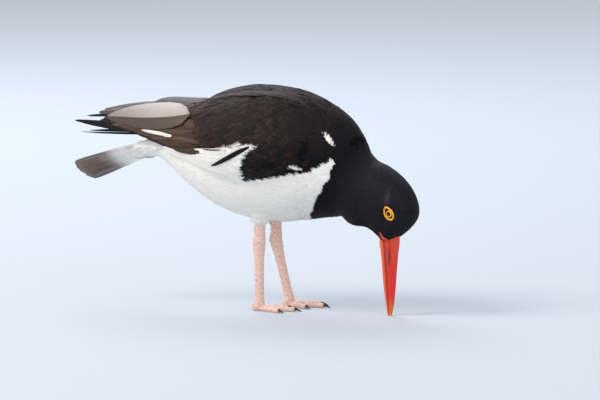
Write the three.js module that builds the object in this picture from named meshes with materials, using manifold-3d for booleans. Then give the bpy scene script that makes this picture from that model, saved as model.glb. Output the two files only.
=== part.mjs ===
// A life-size oystercatcher that stands on both feet and probes the ground with its bill.
// Millimetres, +Z up, the body heads along +X and its right side faces -Y.
// The origin is on the floor, under the middle of the bird's bounding box.
import * as THREE from "three";
import { mergeVertices } from "three/addons/utils/BufferGeometryUtils.js";
import Module from "manifold-3d";

const wasm = await Module();
wasm.setup();

// Driving sizes of the bird.
const GAP = 0.3; // between one piece and the next
const BILL_BASE_HEIGHT = 64; // where the bill leaves the face, so also the bill's length
const BILL_FOOT = [116, -12]; // where the bill meets the floor
const HEAD_TURN = 13; // degrees to the bird's right
const EYE_RADIUS = 6;
const LEG_SPREAD = 19; // from the middle plane to each leg
const TARSUS_LENGTH = 54;

const RIGHT = -1;
const LEFT = 1;
const rad = THREE.MathUtils.degToRad;
const lerp = THREE.MathUtils.lerp;
const vec = (x, y, z) => new THREE.Vector3(x, y, z);

// Plumage, skin and horn colours.
const paint = (color, roughness) => new THREE.MeshStandardMaterial({ color, roughness, metalness: 0 });
const BLACK_PLUMAGE = paint("#1c1b1e", 0.75);
const BROWN_PLUMAGE = paint("#3f322c", 0.7);
const WHITE_PLUMAGE = paint("#eceae4", 0.85);
const BILL_HORN = paint("#e8402a", 0.35);
const LEG_SKIN = paint("#e3b7a6", 0.55);
const CLAW_HORN = paint("#2a2321", 0.4);
const IRIS = paint("#f2c22e", 0.1);
const EYE_RING = paint("#fdbf3a", 0.5);

// A closed BufferGeometry as a solid that can be joined and cut.
function solidOf(geometry) {
  geometry.deleteAttribute("normal");
  geometry.deleteAttribute("uv");
  const merged = mergeVertices(geometry, 1e-4);
  return new wasm.Manifold(
    new wasm.Mesh({
      numProp: 3,
      vertProperties: merged.attributes.position.array,
      triVerts: new Uint32Array(merged.index.array),
    }),
  );
}

const fuse = (solids) => solids.reduce((sum, s) => sum.add(s));

// A closed skin as a solid, its triangles turned over when they face in.
function closed(points, triangles) {
  const sixfold = triangles.reduce((sum, [a, b, c]) => sum + points[a].dot(points[b].clone().cross(points[c])), 0);
  return solidOf(geometryOf(points, sixfold > 0 ? triangles : triangles.map(([a, b, c]) => [a, c, b])));
}

function largest(solid) {
  return solid.decompose().reduce((best, s) => (s.volume() > best.volume() ? s : best));
}

function meshOf(name, solid, material) {
  const data = largest(solid).getMesh();
  const geometry = new THREE.BufferGeometry();
  geometry.setAttribute("position", new THREE.BufferAttribute(new Float32Array(data.vertProperties), 3));
  geometry.setIndex(new THREE.BufferAttribute(new Uint32Array(data.triVerts), 1));
  geometry.computeVertexNormals();
  const mesh = new THREE.Mesh(geometry, material);
  mesh.name = name;
  return mesh;
}

function geometryOf(points, triangles) {
  const geometry = new THREE.BufferGeometry();
  geometry.setAttribute("position", new THREE.Float32BufferAttribute(points.flatMap((p) => [p.x, p.y, p.z]), 3));
  geometry.setIndex(triangles.flat());
  return geometry;
}

// A closed skin over a row of rings that all have the same number of points.
function loft(rings) {
  const count = rings[0].length;
  const points = rings.flat();
  const triangles = [];
  for (let i = 0; i + 1 < rings.length; i++) {
    for (let j = 0; j < count; j++) {
      const a = i * count + j;
      const b = i * count + ((j + 1) % count);
      triangles.push([a, b, b + count], [a, b + count, a + count]);
    }
  }
  const ends = [
    [rings[0], 0, true],
    [rings.at(-1), (rings.length - 1) * count, false],
  ];
  for (const [ring, start, first] of ends) {
    const middle = ring.reduce((sum, p) => sum.add(p), vec(0, 0, 0)).divideScalar(count);
    const m = points.push(middle) - 1;
    for (let j = 0; j < count; j++) {
      const a = start + j;
      const b = start + ((j + 1) % count);
      triangles.push(first ? [m, b, a] : [m, a, b]);
    }
  }
  return closed(points, triangles);
}

// A closed plate between two grids of points, split into triangles alike on both faces.
function plate(rows, columns, top, bottom) {
  const width = columns + 1;
  const points = [];
  for (const face of [top, bottom]) {
    for (let i = 0; i <= rows; i++) for (let j = 0; j <= columns; j++) points.push(face(i / rows, j / columns));
  }
  const under = (rows + 1) * width;
  const at = (i, j) => i * width + j;
  const triangles = [];
  for (let i = 0; i < rows; i++) {
    for (let j = 0; j < columns; j++) {
      const [a, b, c, d] = [at(i, j), at(i + 1, j), at(i + 1, j + 1), at(i, j + 1)];
      triangles.push([a, b, c], [a, c, d], [under + a, under + c, under + b], [under + a, under + d, under + c]);
    }
  }
  const rim = [];
  for (let i = 0; i < rows; i++) rim.push([at(i, 0), at(i + 1, 0)], [at(i + 1, columns), at(i, columns)]);
  for (let j = 0; j < columns; j++) rim.push([at(0, j + 1), at(0, j)], [at(rows, j), at(rows, j + 1)]);
  for (const [a, b] of rim) triangles.push([a, under + b, b], [a, under + a, under + b]);
  return closed(points, triangles);
}

// Seeded variation: each key always gives the same value.
const SEED = 20;
const vary = (key, amount) => amount * Math.sin(SEED + key * 12.9898);

// Vane outline from root to tip: [share of the length, share of the half width].
const VANE_ROWS = [
  [0, 0.6],
  [0.6, 1],
  [0.92, 0.68],
  [1, 0.28],
];
const VANE_ROOT = 0.8; // thickness
const VANE_TIP = 0.5;
const VANE_CAMBER = 0.35;

// A feather: its frame gives the middle line, the way across and the way out from the body.
function vane(frameAt, halfWidth, tilt, pad = 0) {
  const last = VANE_ROWS.length - 1;
  const face = (facing) => (i, j) => {
    const [t, share] = VANE_ROWS[Math.round(i * last)];
    const { point, across, out } = frameAt(t);
    const s = 2 * j - 1;
    const thickness = lerp(VANE_ROOT, VANE_TIP, t) + 2 * pad;
    const rise = (facing * thickness) / 2 - tilt * s * share - VANE_CAMBER * s * s;
    return point.clone().addScaledVector(across, s * (share * halfWidth + pad)).addScaledVector(out, rise);
  };
  return plate(last, 2, face(1), face(-1));
}

// A smooth curve of values through stations [place, value, value, ...].
function profile(stations) {
  return (x) => {
    let k = stations.findIndex((s) => s[0] > x) - 1;
    if (k === -2) k = stations.length - 2;
    k = Math.max(0, Math.min(stations.length - 2, k));
    const [p1, p2] = [stations[k], stations[k + 1]];
    const p0 = stations[k - 1] ?? p1;
    const p3 = stations[k + 2] ?? p2;
    const t = THREE.MathUtils.clamp((x - p1[0]) / (p2[0] - p1[0]), 0, 1);
    return p1.slice(1).map((value, i) => {
      const slope1 = ((p2[i + 1] - p0[i + 1]) / (p2[0] - p0[0] || 1)) * (p2[0] - p1[0]);
      const slope2 = ((p3[i + 1] - p1[i + 1]) / (p3[0] - p1[0] || 1)) * (p2[0] - p1[0]);
      const [t2, t3] = [t * t, t * t * t];
      return (
        value * (2 * t3 - 3 * t2 + 1) +
        slope1 * (t3 - 2 * t2 + t) +
        p2[i + 1] * (3 * t2 - 2 * t3) +
        slope2 * (t3 - t2)
      );
    });
  };
}

// An oval of points about a centre: up and side are its half axes as vectors.
function oval(centre, up, side, count, down = up) {
  return Array.from({ length: count }, (_, k) => {
    const angle = (2 * Math.PI * k) / count;
    const [c, s] = [Math.cos(angle), Math.sin(angle)];
    return centre
      .clone()
      .addScaledVector(side, c)
      .addScaledVector(s > 0 ? up : down, s);
  });
}

// The half of space on the side of a plane that its normal points to, as a large block.
function halfSpace(point, normal, away = 0) {
  const size = 900;
  const block = new THREE.BoxGeometry(size, size, size);
  block.translate(0, 0, size / 2 + away);
  const turn = new THREE.Quaternion().setFromUnitVectors(vec(0, 0, 1), normal.clone().normalize());
  block.applyQuaternion(turn);
  block.translate(point.x, point.y, point.z);
  return solidOf(block);
}

// Torso: the trunk from the tail coverts to the breast.
// Each station is [x, back height, belly height, half width, roll in degrees].
const TORSO_STATIONS = [
  [-131, 132.8, 125.6, 16, 24],
  [-118, 139, 126, 18, 18],
  [-100, 151, 124.5, 22, 8],
  [-85, 162, 114, 30, 2],
  [-65, 175.5, 98, 39, 0],
  [-42, 187.5, 84.5, 46, 0],
  [-18, 193.5, 76.5, 49, 0],
  [8, 194, 73.5, 50, 0],
  [32, 190.5, 75.5, 49, 0],
  [55, 181.5, 79, 44, 0],
  [74, 169, 82, 34.5, 0],
  [87, 153.5, 90, 22.5, 0],
  [93, 142, 104, 12, 0],
];
const TORSO_WIDEST = 0.48; // share of the depth at which the trunk is widest
const TORSO_RINGS = 23;
const TORSO_SIDES = 24;
const torsoAt = profile(TORSO_STATIONS);

function torsoRing(x, pad = 0) {
  const [top, bottom, halfWidth, roll] = torsoAt(x);
  const middle = lerp(bottom, top, TORSO_WIDEST);
  const turn = rad(roll);
  const side = vec(0, Math.cos(turn), -Math.sin(turn));
  const up = vec(0, Math.sin(turn), Math.cos(turn));
  return oval(
    vec(x, 0, middle),
    up.clone().multiplyScalar(top - middle + pad),
    side.multiplyScalar(halfWidth + pad),
    TORSO_SIDES,
    up.clone().multiplyScalar(middle - bottom + pad),
  );
}

function torsoSolid(pad = 0) {
  const first = TORSO_STATIONS[0][0];
  const last = TORSO_STATIONS.at(-1)[0];
  const rings = [];
  for (let i = 0; i < TORSO_RINGS; i++) {
    const x = lerp(first, last, i / (TORSO_RINGS - 1));
    rings.push(torsoRing(x, pad).map((p) => p.setX(p.x + (pad * (2 * i)) / (TORSO_RINGS - 1) - pad)));
  }
  return loft(rings);
}

// Neck and head: rings from the chest to the face.
// Each station is [place along, nape x, nape z, throat x, throat z, middle y, half width].
const NECK_STATIONS = [
  [0, 50, 168, 54, 100, 0, 30],
  [1, 77, 153, 68, 86.5, -1, 31.5],
  [2, 97, 134.5, 79, 76, -3, 29],
  [3, 110, 129.5, 91, 73, -6, 26],
  [4, 124, 122, 99, 70.3, -9.5, 23.5],
  [5, 136, 111.5, 104.5, 66.5, -12.6, 21],
  [6, 143, 99, 106.5, 64.6, -13.8, 18.6],
  [7, 144, 89.5, 107.5, 63.2, -14.2, 17.2],
  [8, 140, 82, 108.8, 62.6, -14, 14.8],
  [9, 133.5, 75, 110, 62.2, -13.5, 11.4],
  [10, 127, 69.5, 111, 61.9, -12.9, 8.6],
  [11, 122.5, 66, 112, 61.7, -12.5, 6],
];
const NECK_RINGS = 20;
const NECK_SIDES = 16;
const neckAt = profile(NECK_STATIONS);

function neckRing(place, pad = 0) {
  const [napeX, napeZ, throatX, throatZ, middleY, halfWidth] = neckAt(place);
  const yaw = rad(HEAD_TURN * Math.min(1, place / 5));
  const middle = vec((napeX + throatX) / 2, middleY, (napeZ + throatZ) / 2);
  const rise = vec((napeX - throatX) / 2, 0, (napeZ - throatZ) / 2).applyAxisAngle(vec(0, 0, 1), -yaw);
  const side = vec(Math.sin(yaw), Math.cos(yaw), 0).multiplyScalar(halfWidth + pad);
  rise.setLength(rise.length() + pad);
  return oval(middle, rise, side, NECK_SIDES);
}

function neckSolid() {
  const last = NECK_STATIONS.at(-1)[0];
  return loft(Array.from({ length: NECK_RINGS }, (_, i) => neckRing((last * i) / (NECK_RINGS - 1))));
}

// Head frame: forward is down the bill, crown is the way the top of the head faces.
const headYaw = rad(HEAD_TURN);
const CROWN = vec(Math.cos(headYaw), -Math.sin(headYaw), 0);
const headPoint = (crown, lateral, z) =>
  vec(BILL_FOOT[0], BILL_FOOT[1], z)
    .addScaledVector(CROWN, crown)
    .add(vec(Math.sin(headYaw), Math.cos(headYaw), 0).multiplyScalar(lateral));

// Bill: each station is [height above the floor, culmen, gonys, half width, mouth line], across the head.
const BILL_STATIONS = [
  [0, 2.2, -1.9, 1.6, -0.1],
  [10, 4.2, -3.6, 2.3, -0.5],
  [22, 5.6, -5.5, 3.1, -0.9],
  [34, 6.5, -6.7, 3.8, -1.3],
  [44, 7.3, -7.3, 4.7, -1.6],
  [54, 8.2, -8.2, 5.6, -1.9],
  [BILL_BASE_HEIGHT, 9.4, -9.2, 6.6, -2],
  [74, 8.2, -5.6, 6.4, -1.9],
];
const BILL_RINGS = 15;
const billAt = profile(BILL_STATIONS);
const MOUTH_GAP = 0.3;

function mandible(upper, pad = 0) {
  const top = BILL_STATIONS.at(-1)[0];
  const rings = [];
  for (let i = 0; i < BILL_RINGS; i++) {
    const z = lerp(0, top + pad, i / (BILL_RINGS - 1));
    const [culmen, gonys, halfWidth, mouth] = billAt(z);
    const lip = mouth + ((upper ? 1 : -1) * MOUTH_GAP) / 2 - (upper ? pad : -pad);
    const ridge = upper ? culmen + pad : gonys - pad;
    const w = halfWidth + pad;
    const mid = lerp(lip, ridge, 0.55);
    const outline = [
      [lip, w * 0.97],
      [mid, w * 0.92],
      [lerp(lip, ridge, 0.85), w * 0.55],
      [ridge, w * 0.14],
    ];
    const ring = [...outline.map(([c, l]) => headPoint(c, l, z)), ...outline.toReversed().map(([c, l]) => headPoint(c, -l, z))];
    rings.push(upper ? ring : ring.toReversed());
  }
  return loft(rings);
}

// Eye: a ball sunk in the face, and the bare ring of the lids round it.
const EYE_HEIGHT = 89.2;
const EYE_CROWN = 10.6;
const EYE_DEPTH = 11.9; // from the head's middle plane to the ball's centre
const RING_DEPTH = 17;
const eyeCentre = (side) => headPoint(EYE_CROWN, side * EYE_DEPTH, EYE_HEIGHT);

function ball(centre, radius, sides = 12) {
  const geometry = new THREE.SphereGeometry(radius, sides, Math.round(sides * 0.6));
  geometry.translate(centre.x, centre.y, centre.z);
  return solidOf(geometry);
}

// The dish of the face that the lids lie in.
function eyeDish(side) {
  const geometry = new THREE.SphereGeometry(1, 12, 8);
  geometry.scale(6.8, 2.6, 8.2);
  geometry.rotateZ(-headYaw);
  const middle = headPoint(EYE_CROWN, side * (RING_DEPTH + 1.5), EYE_HEIGHT);
  geometry.translate(middle.x, middle.y, middle.z);
  return solidOf(geometry);
}

// A nostril: a slit on each side of the upper mandible.
const NOSTRIL_HEIGHT = 54;
const NOSTRIL_SIZE = [0.7, 1, 4.2];

function nostril(side) {
  const geometry = new THREE.SphereGeometry(1, 8, 5);
  geometry.scale(...NOSTRIL_SIZE);
  geometry.rotateZ(-headYaw);
  const middle = headPoint(3, side * billAt(NOSTRIL_HEIGHT)[2] * 0.93, NOSTRIL_HEIGHT);
  geometry.translate(middle.x, middle.y, middle.z);
  return solidOf(geometry);
}

const RING_LENGTH = 5.2; // half, along the bill
const RING_BREADTH = 3.9; // half, across it
const RING_SLANT = 24; // degrees that the lids' long axis leans
const RING_TAPER = 2.6; // how much closer to the middle plane the front corner is

function lidRing(side, pad = 0) {
  const around = 13;
  const rings = [];
  for (let i = 0; i < around; i++) {
    const angle = (2 * Math.PI * i) / around;
    const out = vec(Math.cos(angle), Math.sin(angle), 0);
    const pointed = 1 + 0.12 * Math.max(0, Math.sin(angle)) ** 6;
    const lean = rad(RING_SLANT);
    const along = RING_LENGTH * pointed * Math.sin(angle);
    const across = RING_BREADTH * Math.cos(angle);
    const crown = EYE_CROWN + across * Math.cos(lean) - along * Math.sin(lean);
    const z = EYE_HEIGHT + along * Math.cos(lean) + across * Math.sin(lean);
    const depth = RING_DEPTH + (along / RING_LENGTH) * (RING_TAPER / 2);
    const middle = headPoint(crown, side * depth, z);
    const outward = headPoint(crown + out.x, side * depth, z + out.y).sub(middle).setLength(0.95 + pad);
    const lateral = headPoint(crown, side * (depth + 1), z).sub(middle).setLength(1.15 + pad);
    rings.push(oval(middle, lateral, outward, 5));
  }
  return closedTube(rings);
}

// A ring-shaped tube whose last ring joins its first.
function closedTube(rings) {
  const count = rings[0].length;
  const triangles = [];
  for (let i = 0; i < rings.length; i++) {
    const next = (i + 1) % rings.length;
    for (let j = 0; j < count; j++) {
      const k = (j + 1) % count;
      const [a, b, c, d] = [i * count + j, i * count + k, next * count + k, next * count + j];
      triangles.push([a, b, c], [a, c, d]);
    }
  }
  return closed(rings.flat(), triangles);
}

// Body, neck and head, modelled whole and parted with thin cuts.
const BREAST_CUT = { point: vec(46, 0, 78), normal: vec(0.93, 0, -0.37) };
const SHOULDER_CUT = { point: vec(66, 0, 150), normal: vec(1, 0, 0) };
const NECK_CUT = { point: vec(97, 0, 133), normal: vec(0.83, 0, -0.56) };
const HEAD_CUT = { point: vec(118, 0, 127), normal: vec(0.92, 0, -0.39) };
const flip = (v) => v.clone().negate();

function flesh() {
  const whole = torsoSolid().add(neckSolid());
  const before = (cut) => halfSpace(cut.point, flip(cut.normal), GAP / 2);
  const after = (cut) => halfSpace(cut.point, cut.normal, GAP / 2);
  const torso = whole.intersect(before(BREAST_CUT)).intersect(before(SHOULDER_CUT));
  const breast = whole.intersect(after(BREAST_CUT).add(after(SHOULDER_CUT))).intersect(before(NECK_CUT));
  const neck = whole.intersect(after(NECK_CUT)).intersect(before(HEAD_CUT));
  const head = whole.intersect(after(HEAD_CUT));
  return { torso, breast, neck, head };
}

// Wing: a curved sheet over the flank, given by three curves from the wrist to the wing tip.
// Each station is [place along, x, y, z], for the right wing.
const WING_LOWER = [
  [0, 68, -39, 138],
  [0.14, 37, -52.5, 127],
  [0.28, 2, -56, 119],
  [0.42, -30, -52, 121],
  [0.56, -62, -42, 132],
  [0.74, -102, -28.5, 144],
  [0.9, -141, -19, 152.5],
  [1, -177, -9, 156],
];
const WING_SIDE = [
  [0, 69, -38, 151],
  [0.14, 36, -54, 155],
  [0.28, 2, -59.5, 159],
  [0.42, -30, -54.5, 160],
  [0.56, -61, -42, 161],
  [0.74, -100, -28, 163],
  [0.9, -137, -17, 163.5],
  [1, -173, -9, 160.5],
];
const WING_UPPER = [
  [0, 61, -24, 171],
  [0.14, 33, -26, 185.5],
  [0.28, 2, -27, 190],
  [0.42, -30, -24, 187.5],
  [0.56, -60, -18, 180],
  [0.74, -96, -11, 177],
  [0.9, -130, -8, 171.5],
  [1, -168, -6, 165],
];
const lowerAt = profile(WING_LOWER);
const sideAt = profile(WING_SIDE);
const upperAt = profile(WING_UPPER);

// The far wing hangs a little lower at its tip and reaches further back.
const LEFT_DROOP = 10;
const LEFT_REACH = 8;

function wingPoint(side, u, v) {
  const [l, m, h] = [lowerAt(u), sideAt(u), upperAt(u)];
  const weights = [(1 - v) * (1 - 2 * v), 4 * v * (1 - v), v * (2 * v - 1)];
  const [x, y, z] = [0, 1, 2].map((k) => l[k] * weights[0] + m[k] * weights[1] + h[k] * weights[2]);
  const back = side === LEFT ? u * u : 0;
  return vec(x - LEFT_REACH * back, side === LEFT ? -y : y, z - LEFT_DROOP * back);
}

// A point at a height over the wing's sheet, measured away from the body.
function overWing(side, u, v, height) {
  const step = 0.01;
  const along = wingPoint(side, Math.min(1, u + step), v).sub(wingPoint(side, Math.max(0, u - step), v));
  const across = wingPoint(side, u, Math.min(1, v + step)).sub(wingPoint(side, u, Math.max(0, v - step)));
  const normal = along.cross(across).normalize().multiplyScalar(side === RIGHT ? -1 : 1);
  return wingPoint(side, u, v).addScaledVector(normal, height);
}

const SHEET_LENGTH = 255;
const SHEET_HEIGHT = 65;

// A plate of the wing's sheet over a span of places along and up it.
function wingPlate(side, [u0, u1], [v0, v1], [low, high], rows, columns, pad) {
  const [du, dv] = [pad / SHEET_LENGTH, pad / SHEET_HEIGHT];
  const face = (height) => (i, j) =>
    overWing(side, lerp(u0 - du, u1 + du, i), lerp(v0 - dv, v1 + dv, side === RIGHT ? j : 1 - j), height);
  return plate(rows, columns, face(high + pad), face(low - pad));
}

// A feather laid on the wing from its root [place along, place up] to its tip.
function wingVane(side, root, tip, halfWidth, [low, high], tilt, pad) {
  const at = (t, height) => overWing(side, lerp(root[0], tip[0], t), lerp(root[1], tip[1], t), height);
  return vane(
    (t) => {
      const height = lerp(low, high, t ** 0.7);
      const point = at(t, height);
      const out = at(t, height + 1).sub(point).normalize();
      const near = Math.min(t, 0.99);
      const along = at(near + 0.01, 0).sub(at(near, 0)).normalize();
      const across = along.clone().cross(out).multiplyScalar(side === RIGHT ? 1 : -1);
      return { point, across, out };
    },
    halfWidth,
    tilt,
    pad,
  );
}

// A tier of feathers from the lowest to the highest.
// Each of the two ends is [root along, root up], [tip along, tip up].
function tier(side, lowest, highest, { count, halfWidth, heights, tilt = 0.75 }, pad) {
  return Array.from({ length: count }, (_, k) => {
    const share = k / Math.max(1, count - 1);
    const [root, tip] = [0, 1].map((end) => [0, 1].map((c) => lerp(lowest[end][c], highest[end][c], share)));
    const key = k + 50 * lowest[1][0];
    const reach = [tip[0] + vary(key, 0.006), tip[1] + vary(key + 0.5, 0.008)];
    return wingVane(side, root, reach, halfWidth * (1 + vary(key + 0.7, 0.06)), heights, tilt, pad);
  });
}

const WING_DEPTH = 9;
const COVERTS_END = 0.3; // place along the wing
const SECONDARIES_END = 0.6;
const SCAPULARS_END = 0.5;
const SECONDARIES_TOP = 0.27; // place up the wing
const COVERTS_TOP = 0.6;

const LESSER_COVERTS = { count: 4, halfWidth: 6.2, heights: [-1.2, 1] };
const GREATER_COVERTS = { count: 5, halfWidth: 6, heights: [-1.2, 1.1] };
const SCAPULARS = { halfWidth: 6.8, heights: [-1, 1.5] };
const LOWER_TERTIALS = { count: 3, halfWidth: 5.2, heights: [-1.4, 0.2] };
const UPPER_TERTIALS = { count: 2, halfWidth: 8, heights: [-1, 0.9], tilt: 0.9 };
const SECONDARIES = { count: 3, halfWidth: 5.6, heights: [-2.4, -0.2] };
const PRIMARIES = { count: 4, halfWidth: 5, heights: [-4.7, -2], tilt: 0.8 };

// The groups of wing feathers, each on its own plate; pad makes room round them.
const WING_GROUPS = {
  coverts: (side, pad) => [
    wingPlate(side, [0, COVERTS_END], [0, COVERTS_TOP], [-WING_DEPTH, 0], 6, 4, pad),
    ...tier(side, [[0.05, 0.1], [0.2, 0.04]], [[0.05, 0.54], [0.19, 0.53]], LESSER_COVERTS, pad),
    ...tier(side, [[0.16, 0.06], [0.325, 0.02]], [[0.16, 0.5], [0.31, 0.48]], GREATER_COVERTS, pad),
  ],
  scapulars: (side, pad) => [
    wingPlate(side, [0, SCAPULARS_END], [COVERTS_TOP, 1], [-WING_DEPTH, 0.3], 8, 3, pad),
    wingPlate(side, [COVERTS_END, SCAPULARS_END], [SECONDARIES_TOP, COVERTS_TOP + 0.1], [-WING_DEPTH, 0.2], 4, 2, pad),
    ...tier(side, [[0.12, 0.74], [0.3, 0.72]], [[0.1, 0.94], [0.28, 0.92]], { ...SCAPULARS, count: 2 }, pad),
    ...tier(side, [[0.28, 0.46], [0.43, 0.4]], [[0.26, 0.93], [0.42, 0.9]], { ...SCAPULARS, count: 4 }, pad),
    ...tier(side, [[0.4, 0.36], [0.57, 0.34]], [[0.38, 0.92], [0.6, 0.9]], { ...SCAPULARS, count: 4 }, pad),
  ],
  tertials: (side, pad) => [
    wingPlate(side, [SCAPULARS_END, 0.62], [SECONDARIES_TOP, 1], [-2.6, -0.2], 3, 4, pad),
    ...tier(side, [[0.56, 0.36], [0.72, 0.28]], [[0.56, 0.58], [0.83, 0.5]], LOWER_TERTIALS, pad),
    ...tier(side, [[0.56, 0.72], [0.92, 0.66]], [[0.56, 0.9], [0.84, 0.88]], UPPER_TERTIALS, pad),
  ],
  secondaries: (side, pad) => [
    wingPlate(side, [COVERTS_END, SECONDARIES_END], [0, SECONDARIES_TOP], [-WING_DEPTH, -1.2], 5, 2, pad),
    ...tier(side, [[0.46, 0.04], [0.64, 0.07]], [[0.44, 0.19], [0.67, 0.2]], SECONDARIES, pad),
  ],
  primaries: (side, pad) => [
    wingPlate(side, [0.66, 0.78], [0.3, 0.8], [-5.4, -4], 2, 3, pad),
    ...tier(side, [[0.74, 0.36], [0.965, 0.34]], [[0.74, 0.72], [0.92, 0.92]], PRIMARIES, pad),
    wingVane(side, [0.74, 0.34], [1, 0.2], 3.2, [-4.7, -2.4], 0.5, pad),
  ],
};
// Each group gives way to the ones that lie over it.
function wingParts(side, trunkPadded) {
  const parts = {};
  let over = trunkPadded;
  for (const [name, group] of Object.entries(WING_GROUPS)) {
    parts[name] = fuse(group(side, 0)).subtract(over);
    over = over.add(fuse(group(side, GAP)));
  }
  return parts;
}

// Mantle: the feathered cape between the two wings, over the torso from the nape to the rump.
const MANTLE_REACH = [-84, 68];
const MANTLE_DEPTH = 3.2;

function mantlePoint(x, share, height) {
  const edge = Math.min(upperAt(wingPlaceOf(x))[1], -8);
  const [top, bottom, halfWidth] = torsoAt(x);
  const middle = lerp(bottom, top, TORSO_WIDEST);
  const y = edge * share;
  const rise = (top - middle) * Math.sqrt(1 - (y / halfWidth) ** 2);
  const normal = vec(0, y / halfWidth ** 2, rise / (top - middle) ** 2).normalize();
  return vec(x, y, middle + rise).addScaledVector(normal, height);
}

// The place along the wing that lies beside a point of the back.
function wingPlaceOf(x) {
  let place = 0;
  while (place < 1 && upperAt(place)[0] > x) place += 0.01;
  return place;
}

function mantleSolid(pad) {
  const [rear, front] = MANTLE_REACH;
  const wide = 1 + pad / 10;
  const face = (height) => (i, j) => mantlePoint(lerp(rear - pad, front + pad, i), wide * (1 - 2 * j), height);
  return plate(8, 5, face(MANTLE_DEPTH + pad), face(-4));
}

// Tail: a fan of flight feathers, rolled so that its under side faces the bird's right.
const TAIL_ROOT = vec(-131.6, 0, 129.6);
const TAIL_PITCH = 20;
const TAIL_ROLL = 24;
const TAIL_SPREAD = 7.4; // degrees, half the fan
const TAIL_SHOWN = 48.5; // what stands out of the tail coverts

function tailPoint(reach, angle, lift) {
  const along = vec(-Math.cos(rad(TAIL_PITCH)), 0, -Math.sin(rad(TAIL_PITCH)));
  const side = vec(0, Math.cos(rad(TAIL_ROLL)), -Math.sin(rad(TAIL_ROLL)));
  const up = side.clone().cross(along).normalize();
  const hidden = 110;
  const radius = hidden + reach;
  return TAIL_ROOT.clone()
    .addScaledVector(along, radius * Math.cos(rad(angle)) - hidden)
    .addScaledVector(side, radius * Math.sin(rad(angle)))
    .addScaledVector(up, -lift);
}

const TAIL_FEATHERS = 7;
const TAIL_STEP = 1; // from one feather's layer to the next

function tailVane(k) {
  const share = (2 * k) / (TAIL_FEATHERS - 1) - 1;
  const angle = TAIL_SPREAD * share;
  const reach = TAIL_SHOWN - 3.4 * share * share + vary(k, 0.5);
  const lift = TAIL_STEP * 2 * Math.abs(share);
  const at = (t, extra) => tailPoint(lerp(-4, reach, t), angle, lift + extra);
  return vane(
    (t) => {
      const point = at(t, 0);
      const out = at(t, -1).sub(point).normalize();
      const along = at(t + 0.01, 0).sub(point).normalize();
      return { point, across: along.clone().cross(out), out };
    },
    6,
    share === 0 ? 0 : -0.5 * Math.sign(share),
  );
}

function tailSolid() {
  const face = (lift) => (i, j) => tailPoint(9 * i, lerp(-TAIL_SPREAD, TAIL_SPREAD, j), lift);
  const root = plate(1, 6, face(-0.8), face(2.8));
  return fuse([root, ...Array.from({ length: TAIL_FEATHERS }, (_, k) => tailVane(k))]);
}

// Legs: feathered thigh, bare shank, ankle, tarsus and three toes.
const FOOT_HEIGHT = 5;
const HEEL_BACK = 2; // the heel's pad behind the tarsus
const ANKLE_PLACE = -1.7;
const LEG_LEAN = { [RIGHT]: 0.5, [LEFT]: 14 }; // degrees that the tarsus leans forward to the foot
const TOES = [
  { name: "inner", length: 25, angle: 34, radius: 2.7 },
  { name: "middle", length: 32, angle: 2, radius: 3 },
  { name: "outer", length: 27, angle: -30, radius: 2.8 },
];
const CLAW_LENGTH = 6;
const ankleOf = (side) => {
  const lean = rad(LEG_LEAN[side]);
  return vec(ANKLE_PLACE, side * LEG_SPREAD, FOOT_HEIGHT + TARSUS_LENGTH * Math.cos(lean));
};
const footOf = (side) => {
  const ankle = ankleOf(side);
  return vec(ankle.x + TARSUS_LENGTH * Math.sin(rad(LEG_LEAN[side])), ankle.y, FOOT_HEIGHT);
};

// A limb through stations [share of the way, half depth, half width, push back].
function limb(from, to, stations, sides, pad = 0) {
  const axis = to.clone().sub(from).normalize();
  const across = vec(0, 1, 0);
  const fore = across.clone().cross(axis).normalize();
  return loft(
    stations.map(([share, depth, width, back]) => {
      const centre = from.clone().lerp(to, share).addScaledVector(fore, back);
      return oval(centre, across.clone().multiplyScalar(width + pad), fore.clone().multiplyScalar(depth + pad), sides);
    }),
  );
}

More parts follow.
